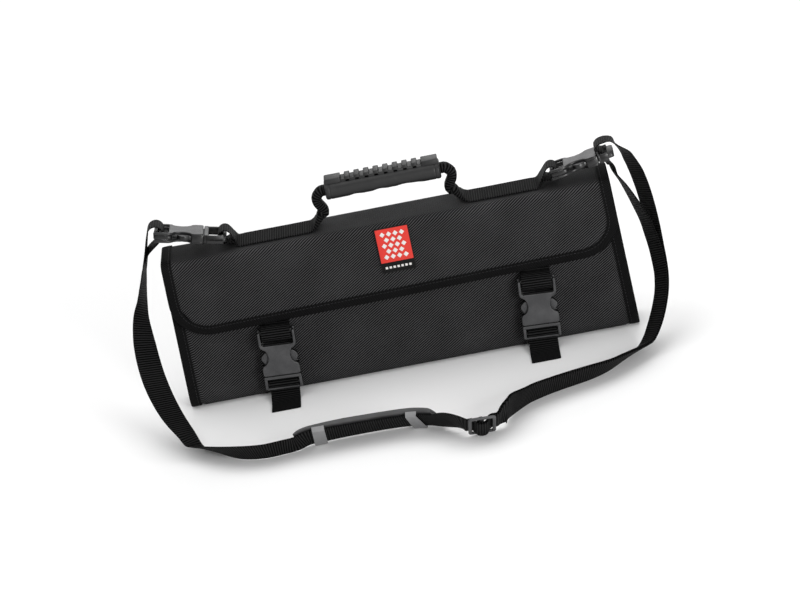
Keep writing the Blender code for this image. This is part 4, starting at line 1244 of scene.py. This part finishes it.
@dataclass
class Webbing:
    """A webbing that follows its CAD solid, with crowned faces and round selvedges."""

    node: str
    name: str
    corners: int = 4
    step: float = 0.0022
    around: int = 20
    stations: list[Station] = field(default_factory=list)

    def read(self) -> None:
        """Read the webbing's way, smooth it and note it at even steps."""
        rough = read_band(self.node, self.corners)
        line = Line([station.centre for station in rough])
        count = max(8, int(line.total / self.step))
        self.stations = []
        for i in range(count + 1):
            self.stations.append(self.station_at(rough, line, i / count * line.total))

    @staticmethod
    def station_at(rough: list[Station], line: Line, distance: float) -> Station:
        """A station on the smooth curve through the CAD's stations.

        Args:
            rough: The CAD's stations.
            line: The line through their centres.
            distance: How far along the line.

        Returns:
            The station there.
        """
        i, t = line.place(distance)
        before, start = rough[max(i - 1, 0)], rough[i]
        end, after = rough[i + 1], rough[min(i + 2, len(rough) - 1)]
        spans = [max((b.centre - a.centre).length, 1e-6) for a, b in ((before, start), (start, end), (end, after))]
        near = (end.centre - before.centre) * (spans[1] / (spans[0] + spans[1]))
        far = (after.centre - start.centre) * (spans[1] / (spans[1] + spans[2]))
        t2, t3 = t * t, t * t * t
        centre = (
            start.centre * (2 * t3 - 3 * t2 + 1)
            + near * (t3 - 2 * t2 + t)
            + end.centre * (3 * t2 - 2 * t3)
            + far * (t3 - t2)
        )
        across = start.across.lerp(end.across, t).normalized()
        return Station(centre, across, mix(start.width, end.width, t), mix(start.thick, end.thick, t))

    def frames(self) -> list[tuple[Vector, Vector, Vector, Vector]]:
        """Centre, direction, width direction and face direction at each station."""
        found = []
        last = len(self.stations) - 1
        for i, station in enumerate(self.stations):
            ahead = self.stations[min(i + 1, last)].centre - self.stations[max(i - 1, 0)].centre
            ahead.normalize()
            facing = ahead.cross(station.across).normalized()
            across = facing.cross(ahead).normalized()
            found.append((station.centre, ahead, across, facing))
        return found

    def build(self) -> bpy.types.Object:
        """Build the webbing and return it."""
        self.read()
        frames = self.frames()
        last = len(frames) - 1
        lengths = Line([station.centre for station in self.stations]).lengths

        def place(turn: float, share: float) -> tuple[Vector, Point]:
            i = round(share * last)
            centre, _, across, facing = frames[i]
            station = self.stations[i]
            flat = station.thick < 0.3 * station.width
            power = 0.28 if flat else 0.7
            angle = math.tau * turn
            a = math.copysign(abs(math.cos(angle)) ** power, math.cos(angle)) * station.width / 2
            b = math.copysign(abs(math.sin(angle)) ** (0.5 if flat else 0.7), math.sin(angle))
            side = a + station.width * (0.0 if b >= 0 else 1.0)
            return centre + across * a + facing * b * station.thick / 2, (side, lengths[i])

        piece = shaped_grid(self.name, self.around, last, place, tube=True)
        return finish_piece(piece, WEBBING, [self.node], angle=60)


# Side-release buckles


@dataclass
class Buckle:
    """One fastened side-release buckle. Along it, 0 is the split and the female half is above."""

    name: str
    place: Matrix
    male_length: float
    slots: Sequence[Point]
    width: float = 0.038
    thick: float = 0.0105
    female_length: float = 0.050
    slot_width: float = 0.032
    bar: float = 0.0038
    waist_low: float = 0.0125
    waist_high: float = 0.0300
    waist_width: float = 0.0225

    def female_outline(self, mouth: float = 0.0) -> list[Point]:
        """The female half seen from the front: a shield, a waist and a wide loop.

        Args:
            mouth: How deep the loop is open at its top, or 0 for a closed loop.
        """
        half, waist, top = self.width / 2, self.waist_width / 2, self.female_length
        low, high = self.waist_low, self.waist_high
        right = arc((half - 0.0025, 0.0028), 0.0025, -90, 0, 4)
        right += [(half, mix(0, low, 0.7)), (half - 0.0010, low - 0.0006)]
        right += [(half - 0.0042, low + 0.0012), (waist + 0.0012, low + 0.0040)]
        right += [(waist, mix(low, high, 0.5)), (waist + 0.0008, high - 0.0040)]
        right += [(half - 0.0052, high - 0.0006), (half - 0.0012, high + 0.0022)]
        right += [(half, high + 0.0055)]
        if mouth:
            ear = (half - self.slot_width / 2) / 2
            right += arc((half - ear, top - ear), ear, 0, 180, 8)
            right += [(half - 2 * ear, top - mouth + 0.0012), (half - 2 * ear - 0.0012, top - mouth)]
        else:
            right += arc((half - 0.0045, top - 0.0045), 0.0045, 0, 90, 6)
        return right + [(-x, z) for x, z in right[::-1]]

    def plate_at(self, name: str, outlines: Sequence[Sequence[Point]], low: float, high: float, edge: float) -> bpy.types.Object:
        """A plate between two depths, where the front of the buckle is at a positive depth."""
        plate = cut_plate(name, outlines, high - low, edge)
        plate.data.transform(Matrix.Translation((0, -(low + high) / 2, 0)))
        return plate

    def build(self) -> None:
        """Build both halves."""
        self.build_female()
        self.build_male()

    def build_female(self) -> None:
        """Build the half with the sleeve."""
        half = self.thick / 2
        top = self.female_length
        outline = self.female_outline(self.bar + 0.0115)
        slot = rounded_rectangle(self.slot_width, top - self.bar - 0.0115, top - self.bar, 0.0018)
        loop = rounded_rectangle(self.width - 0.0004, top - self.bar - 0.0150, top - 0.0002, 0.0042)
        pieces = [
            self.plate_at("front_shell", [outline], half - 0.0029, half, 0.0009),
            self.plate_at("back_shell", [outline], -half, 0.0029 - half, 0.0009),
            self.plate_at("loop", [loop, slot], -0.0020, 0.0020, 0.0008),
        ]
        for side in (-1, 1):
            x0, x1 = sorted((side * self.slot_width / 2, side * (self.width / 2 - 0.0004)))
            wall = rounded_block("wall", Vector((x0, -half + 0.001, 0.0004)), Vector((x1, half - 0.001, self.waist_low - 0.001)), 0.0006)
            pieces.append(wall)
        self.finish("female", pieces)

    def build_male(self) -> None:
        """Build the half with the prongs, its webbing slots and its ribs."""
        half = 0.0045
        slots = [rounded_rectangle(self.slot_width, -end, -start, min(0.001, (end - start) * 0.3)) for start, end in self.slots]
        outline = rounded_rectangle(self.width, -self.male_length, -0.0004, 0.0030)
        lowest = max(end for _, end in self.slots)
        pieces = [self.plate_at("frame", [outline] + slots, -0.0020, 0.0020, 0.0008)]
        top = rounded_rectangle(self.width, -self.slots[0][0] + 0.0002, -0.0004, 0.0012)
        pieces.append(self.plate_at("shoulder", [top], -half, half, 0.0009))
        guide = rounded_rectangle(self.slot_width - 0.001, -0.002, 0.0110, 0.0015)
        pieces.append(self.plate_at("guide", [guide], -0.0020, 0.0020, 0.0006))
        for side in (-1, 1):
            x = side * (self.slot_width / 2 + (self.width - self.slot_width) / 4)
            rail = rounded_block(
                "rail",
                Vector((x - 0.0015, -half + 0.0004, -lowest - 0.0008)),
                Vector((x + 0.0015, half - 0.0004, -0.002)),
                0.0006,
            )
            pieces.append(rail)
            pieces.append(self.prong(side))
        self.finish("male", pieces)

    def finish(self, half: str, pieces: Sequence[bpy.types.Object]) -> None:
        """Join the pieces of a half at its place and give its broad faces a lighter, rougher copy of the plastic:
        painted light.

        Args:
            half: Either female or male.
            pieces: The pieces of that half.
        """
        piece = join(f"{self.name}_{half}", pieces)
        piece.data.transform(self.place)
        finish_piece(piece, PLASTIC, [f"{self.name}_{half}_buckle"])
        piece.data.materials.append(PLASTIC_PAINTED_LIGHT.material())
        front = self.place.to_3x3() @ Vector((0, -1, 0))
        # The broad front and back faces take the lighter plastic, painted light.
        for polygon in piece.data.polygons:
            if abs(polygon.normal.dot(front)) > 0.9:
                polygon.material_index = 1

    def prong(self, side: int) -> bpy.types.Object:
        """The springy prong on one side, with the bump that is pressed to open the buckle."""
        inner, tip = self.slot_width / 2 - GAP, self.width / 2 - 0.0004
        low, high = self.waist_low, self.waist_high
        outline = [
            (inner, -0.001),
            (inner, low + 0.0006),
            (inner + 0.0006, low + 0.0020),
            (tip - 0.0006, low + 0.0042),
            (tip, low + 0.0062),
            (tip, low + 0.0084),
            (tip - 0.0010, low + 0.0102),
            (inner - 0.0012, high - 0.0042),
            (inner - 0.0050, high - 0.0036),
            (inner - 0.0042, low + 0.003),
            (inner - 0.0042, -0.001),
        ]
        return self.plate_at("prong", [[(side * x, z) for x, z in outline]], -0.0024, 0.0024, 0.0007)


@dataclass
class Buckles:
    """The four buckles at their places."""

    form: RollForm
    tilt: float = 3.5
    shift: float = 0.001
    split_height: float = 0.0295
    standoff: float = 0.0042
    left_in: float = 0.046
    left_rise: float = 0.0180
    left_pitch: float = 14.0
    right_in: float = 0.006
    right_rise: float = 0.0215
    right_pitch: float = 9.0
    tip: float = 10.0

    def top_place(self, side: int, inward: float, rise: float, pitch: float) -> Matrix:
        """Matrix of a buckle above the top, whose female half points left and which tips back."""
        angle = math.radians(pitch)
        along = Vector((-math.cos(angle), 0, side * -math.sin(angle)))
        facing = Vector((side * -math.sin(angle), 0, math.cos(angle)))
        facing = Matrix.Rotation(math.radians(self.tip), 3, along) @ facing
        across = (-facing).cross(along)
        place = Matrix((across, -facing, along)).transposed().to_4x4()
        height = self.form.height
        place.translation = (side * (self.form.half_length(height) - inward), 0, height + rise)
        return place

    def build(self) -> None:
        """Build the two front closures' buckles and the two top buckles."""
        form = self.form
        middle = -form.depth / 2 - self.standoff - 0.0105 / 2
        for side in Side:
            x = side.value * form.closure_spacing / 2
            split = self.split_height + (form.flap_edge(x) - form.flap_edge(0)) / 2
            place = Matrix.Translation((x + self.shift, middle, split))
            place = place @ Matrix.Rotation(math.radians(self.tilt), 4, "Y")
            ladder = ((0.0046, 0.0086), (0.0118, 0.0145))
            Buckle(f"front_{side.word}", place, 0.0170, ladder).build()
        left = self.top_place(-1, self.left_in, self.left_rise, self.left_pitch)
        Buckle("top_left", left, 0.0230, ((0.0050, 0.0192),)).build()
        right = self.top_place(1, self.right_in, self.right_rise, self.right_pitch)
        Buckle("top_right", right, 0.0165, ((0.0031, 0.0100),)).build()


# Handle


@dataclass
class Grip:
    """The moulded grip with its finger waves and the raised strip of lugs on top."""

    height: float = 0.0185
    width: float = 0.024
    strip_height: float = 0.0040
    wave: float = 0.0026
    waves_at: Sequence[Point] = (
        (0.0, 0.0), (0.18, 0.1), (0.255, 0.65), (0.325, 0.2), (0.39, 0.2), (0.465, 1.0),
        (0.53, 0.5), (0.60, 0.5), (0.68, 1.1), (0.77, 0.6), (0.86, 0.0), (1.0, 0.0),
    )
    lugs: int = 8
    pitch: float = 0.0097
    lug_length: float = 0.0056
    strip_width: float = 0.0140
    strip_end: float = 0.0165

    def wave_at(self, share: float) -> float:
        """Depth of the finger waves at a share of the grip's length."""
        for (x0, y0), (x1, y1) in zip(self.waves_at, self.waves_at[1:]):
            if share <= x1:
                t = (share - x0) / (x1 - x0)
                return self.wave * mix(y0, y1, t * t * (3 - 2 * t))
        return 0.0

    def build(self) -> None:
        """Build the grip's body, its end collars and its strip of lugs."""
        low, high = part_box("grip")
        length = high.x - low.x
        centre_x = (low.x + high.x) / 2
        height, width = self.height, self.width
        centre_z = high.z - self.strip_height - height / 2

        def place(turn: float, share: float) -> tuple[Vector, Point]:
            angle = math.tau * turn
            end = min(share, 1 - share) * length
            size = 1.0 - 0.16 * max(0.0, 1 - end / 0.0016) ** 2
            if 0.0045 < end < 0.0056:
                size *= 0.965
            y = width / 2 * size * math.copysign(abs(math.cos(angle)) ** 0.8, math.cos(angle))
            z = height / 2 * size * math.copysign(abs(math.sin(angle)) ** 0.8, math.sin(angle))
            if z < 0:
                z += self.wave_at(share) * math.sin(angle) ** 2
            x = low.x + share * length
            return Vector((x, y, centre_z + z)), (angle * width / 2, x)

        body = shaped_grid("grip_body", 48, 220, place, tube=True)
        top = height / 2 + self.strip_height
        floor = top - 0.6 * self.strip_height
        base = 0.25 * height
        half = self.strip_width / 2
        reach = length / 2 - 0.001
        blocks = [body]
        spans = [(-reach, self.strip_end - reach, top), (reach - self.strip_end, reach, top)]
        spans.append((self.strip_end - reach - 0.0004, reach - self.strip_end + 0.0004, floor))
        for number in range(self.lugs):
            middle = ((self.lugs - 1) / 2 - number) * self.pitch
            spans.append((middle - self.lug_length / 2, middle + self.lug_length / 2, top))
        for x0, x1, z1 in spans:
            corner = Vector((centre_x + x0, -half, centre_z + base))
            blocks.append(rounded_block("block", corner, Vector((centre_x + x1, half, centre_z + z1)), 0.0009))
        finish_piece(join("carry_grip", blocks), GRIP_MOULD, ["grip"], angle=50)


# Shoulder strap's fittings


@dataclass
class ShoulderPad:
    """The moulded pad behind the shoulder strap, with the two bridges that hold the strap."""

    strap: Webbing
    start_x: float = -0.12296
    length: float = 0.142
    thickness: float = 0.0060
    rim: float = 0.0026
    bridge: float = 0.0125
    bridge_inset: float = 0.023
    taper: Sequence[Point] = (
        (0.0, 0.25), (0.06, 0.50), (0.20, 0.85), (0.35, 1.0), (0.85, 1.0), (0.97, 0.90), (1.0, 0.75),
    )

    def thick_at(self, share: float) -> float:
        """The pad's thickness at a share of its length."""
        for (x0, y0), (x1, y1) in zip(self.taper, self.taper[1:]):
            if share <= x1:
                return self.thickness * mix(y0, y1, (share - x0) / (x1 - x0))
        return self.thickness * self.taper[-1][1]

    def build(self) -> None:
        """Build the pad and its bridges along the strap's own line."""
        frames = self.strap.frames()
        line = Line([item[0] for item in frames])
        way = 1 if frames[0][0].x < frames[-1][0].x or frames[len(frames) // 4][0].x < 0 else -1
        first = next(
            i for i in range(len(frames) - 1)
            if frames[i][0].x <= self.start_x < frames[i + 1][0].x and frames[i][0].z < 0.03
        )
        start = line.lengths[first + 1]
        LOG.info("pad starts %.3f m along the strap, way %d", start, way)

        def frame_at(share: float) -> tuple[Vector, Vector, Vector]:
            i, part = line.place(start + share * self.length)
            near, far = frames[i], frames[i + 1]
            facing = near[3].lerp(far[3], part).normalized()
            behind = facing if facing.y > 0 else -facing
            return near[0].lerp(far[0], part), near[2].lerp(far[2], part).normalized(), behind

        near_face = 0.0007 + 4 * GAP
        half = 0.015 + self.rim

        def place(turn: float, share: float) -> tuple[Vector, Point]:
            centre, across, behind = frame_at(share)
            thick = self.thick_at(share)
            angle = math.tau * turn
            narrow = 1.0 - 0.10 * max(0.0, 1 - min(share, 1 - share) / 0.05) ** 2
            a = half * narrow * math.copysign(abs(math.cos(angle)) ** 0.35, math.cos(angle))
            b = math.copysign(abs(math.sin(angle)) ** 0.5, math.sin(angle))
            point = centre + across * a + behind * (near_face + thick * (0.5 + 0.5 * b))
            return point, (a, share * self.length)

        pad = shaped_grid("pad_body", 40, 90, place, tube=True)
        finish_piece(pad, PAD_MOULD, ["shoulder_pad"], angle=50)
        for number, middle in enumerate((self.bridge_inset, self.length - self.bridge_inset)):
            self.build_bridge(number, middle, frame_at)

    def build_bridge(
        self, number: int, middle: float, frame_at: Callable[[float], tuple[Vector, Vector, Vector]]
    ) -> None:
        """Build one bridge over the strap's outer face.

        Args:
            number: The bridge's number.
            middle: Its place along the pad, in metres.
            frame_at: Gives the strap's centre, width and back directions at a share of the pad.
        """
        inner = 0.0007 + 3 * GAP
        outer = inner + 0.0009
        foot = outer + 2 * GAP
        slot = 0.015 + 4 * GAP
        half = slot + 0.0009
        profile = [(half, foot), (half, 0.0), (half - 0.0003, -outer + 0.0008), (half - 0.0010, -outer)]
        profile += [(0.0, -outer - 0.0002)]
        profile += [(-a, b) for a, b in profile[-2::-1]]
        profile += [(-slot, foot), (-slot, -inner), (slot, -inner), (slot, foot), (half, foot)]
        outline = Line([Vector((a, b, 0)) for a, b in profile])

        def place(turn: float, share: float) -> tuple[Vector, Point]:
            at = (middle + (share - 0.5) * self.bridge) / self.length
            centre, across, behind = frame_at(at)
            edge = outline.at(turn * outline.total)
            return centre + across * edge.x + behind * edge.y, (edge.x, share * self.bridge)

        bridge = shaped_grid(f"pad_bridge_{number + 1}", 60, 8, place, tube=True)
        finish_piece(bridge, BRIDGE_MOULD)


@dataclass
class Slider:
    """The flat frame that sets the strap's length."""

    edge: float = 0.0007

    def build(self) -> None:
        """Build the slider from its CAD solid with round edges."""
        piece = copied_node("strap_slider", "slider_frame", self.edge)
        # The whole slider takes the lighter plastic: painted highlight on black plastic.
        finish_piece(piece, PLASTIC_PAINTED_LIGHT, ["strap_slider"])


# Studio


@dataclass
class Studio:
    """The pale floor, the soft lights and the camera at the photograph's place."""

    azimuth: float = 3.1494
    elevation: float = 25.718
    roll: float = 12.1627
    distance: float = 3.0
    target: Vector = field(default_factory=lambda: Vector((-0.00186, 0.0, 0.0703)))
    lens_pixels: float = 2956.22
    image_width: float = 800.0

    def build_camera(self) -> None:
        """Place the camera so that the roll has its size, place and tilt of the photograph."""
        turn, rise, roll = (math.radians(v) for v in (self.azimuth, self.elevation, self.roll))
        back = Vector((math.sin(turn) * math.cos(rise), -math.cos(turn) * math.cos(rise), math.sin(rise)))
        level = Vector((math.cos(turn), math.sin(turn), 0.0))
        upright = back.cross(level)
        right = level * math.cos(roll) - upright * math.sin(roll)
        up = upright * math.cos(roll) + level * math.sin(roll)
        data = bpy.data.cameras.new("camera")
        data.sensor_width = 36.0
        data.lens = 36.0 * self.lens_pixels / self.image_width
        data.clip_start, data.clip_end = 0.1, 50.0
        camera = bpy.data.objects.new("camera", data)
        bpy.context.scene.collection.objects.link(camera)
        place = Matrix((right, up, back)).transposed().to_4x4()
        place.translation = self.target + back * self.distance
        camera.matrix_world = place
        bpy.context.scene.camera = camera

    def build_floor(self) -> None:
        """Lay the plain pale floor."""
        bpy.ops.object.select_all(action="DESELECT")
        bpy.ops.mesh.primitive_plane_add(size=14.0, location=(0, 0, 0))
        floor = bpy.context.object
        floor.name = "floor"
        material = bpy.data.materials.new("pale_floor")
        material.use_nodes = True
        shader = material.node_tree.nodes["Principled BSDF"]
        shader.inputs["Base Color"].default_value = (0.9, 0.9, 0.9, 1.0)
        shader.inputs["Roughness"].default_value = 0.9
        shader.inputs["Specular IOR Level"].default_value = 0.1
        floor.data.materials.append(material)

    def build_light(self, name: str, place: Sequence[float], size: float, power: float) -> None:
        """Hang one soft area light that looks at the roll.

        Args:
            name: The light's name.
            place: Where it hangs.
            size: Its edge.
            power: Its power in watts.
        """
        data = bpy.data.lights.new(name, "AREA")
        data.shape = "SQUARE"
        data.size = size
        data.energy = power
        lamp = bpy.data.objects.new(name, data)
        bpy.context.scene.collection.objects.link(lamp)
        lamp.location = place
        lamp.rotation_euler = (self.target - Vector(place)).to_track_quat("-Z", "Y").to_euler()

    def build(self) -> None:
        """Build the camera, the floor and the lights."""
        self.build_camera()
        self.build_floor()
        world = bpy.data.worlds.new("studio")
        world.use_nodes = True
        world.node_tree.nodes["Background"].inputs[0].default_value = (1.0, 1.0, 1.0, 1.0)
        world.node_tree.nodes["Background"].inputs[1].default_value = 0.56
        bpy.context.scene.world = world
        self.build_light("top_light", (-0.3, 0.4, 2.5), 3.0, 42.0)
        self.build_light("back_light", (0.3, 2.6, 1.4), 1.6, 17.0)
        self.build_light("front_light", (1.4, -2.2, 0.8), 1.0, 46.0)
        bpy.context.scene.view_settings.view_transform = "Standard"


def main() -> None:
    """Build the whole roll, piece by piece."""
    logging.basicConfig(level=logging.INFO, format="%(name)s %(message)s")
    Studio().build()
    form = RollForm()
    Cover(form).build()
    Flap(form).build()
    Label().build()
    Buckles(form).build()
    for side in Side:
        Webbing(f"flap_strap_{side.word}", f"closure_strap_{side.word}", step=0.0012).build()
        Webbing(f"base_strap_{side.word}", f"tail_strap_{side.word}", step=0.0012).build()
    Webbing("carry_webbing", "carry_band", corners=8, step=0.0018).build()
    Grip().build()
    strap = Webbing("shoulder_strap", "shoulder_band")
    strap.build()
    ShoulderPad(strap).build()
    Slider().build()


if __name__ == "__main__":
    main()
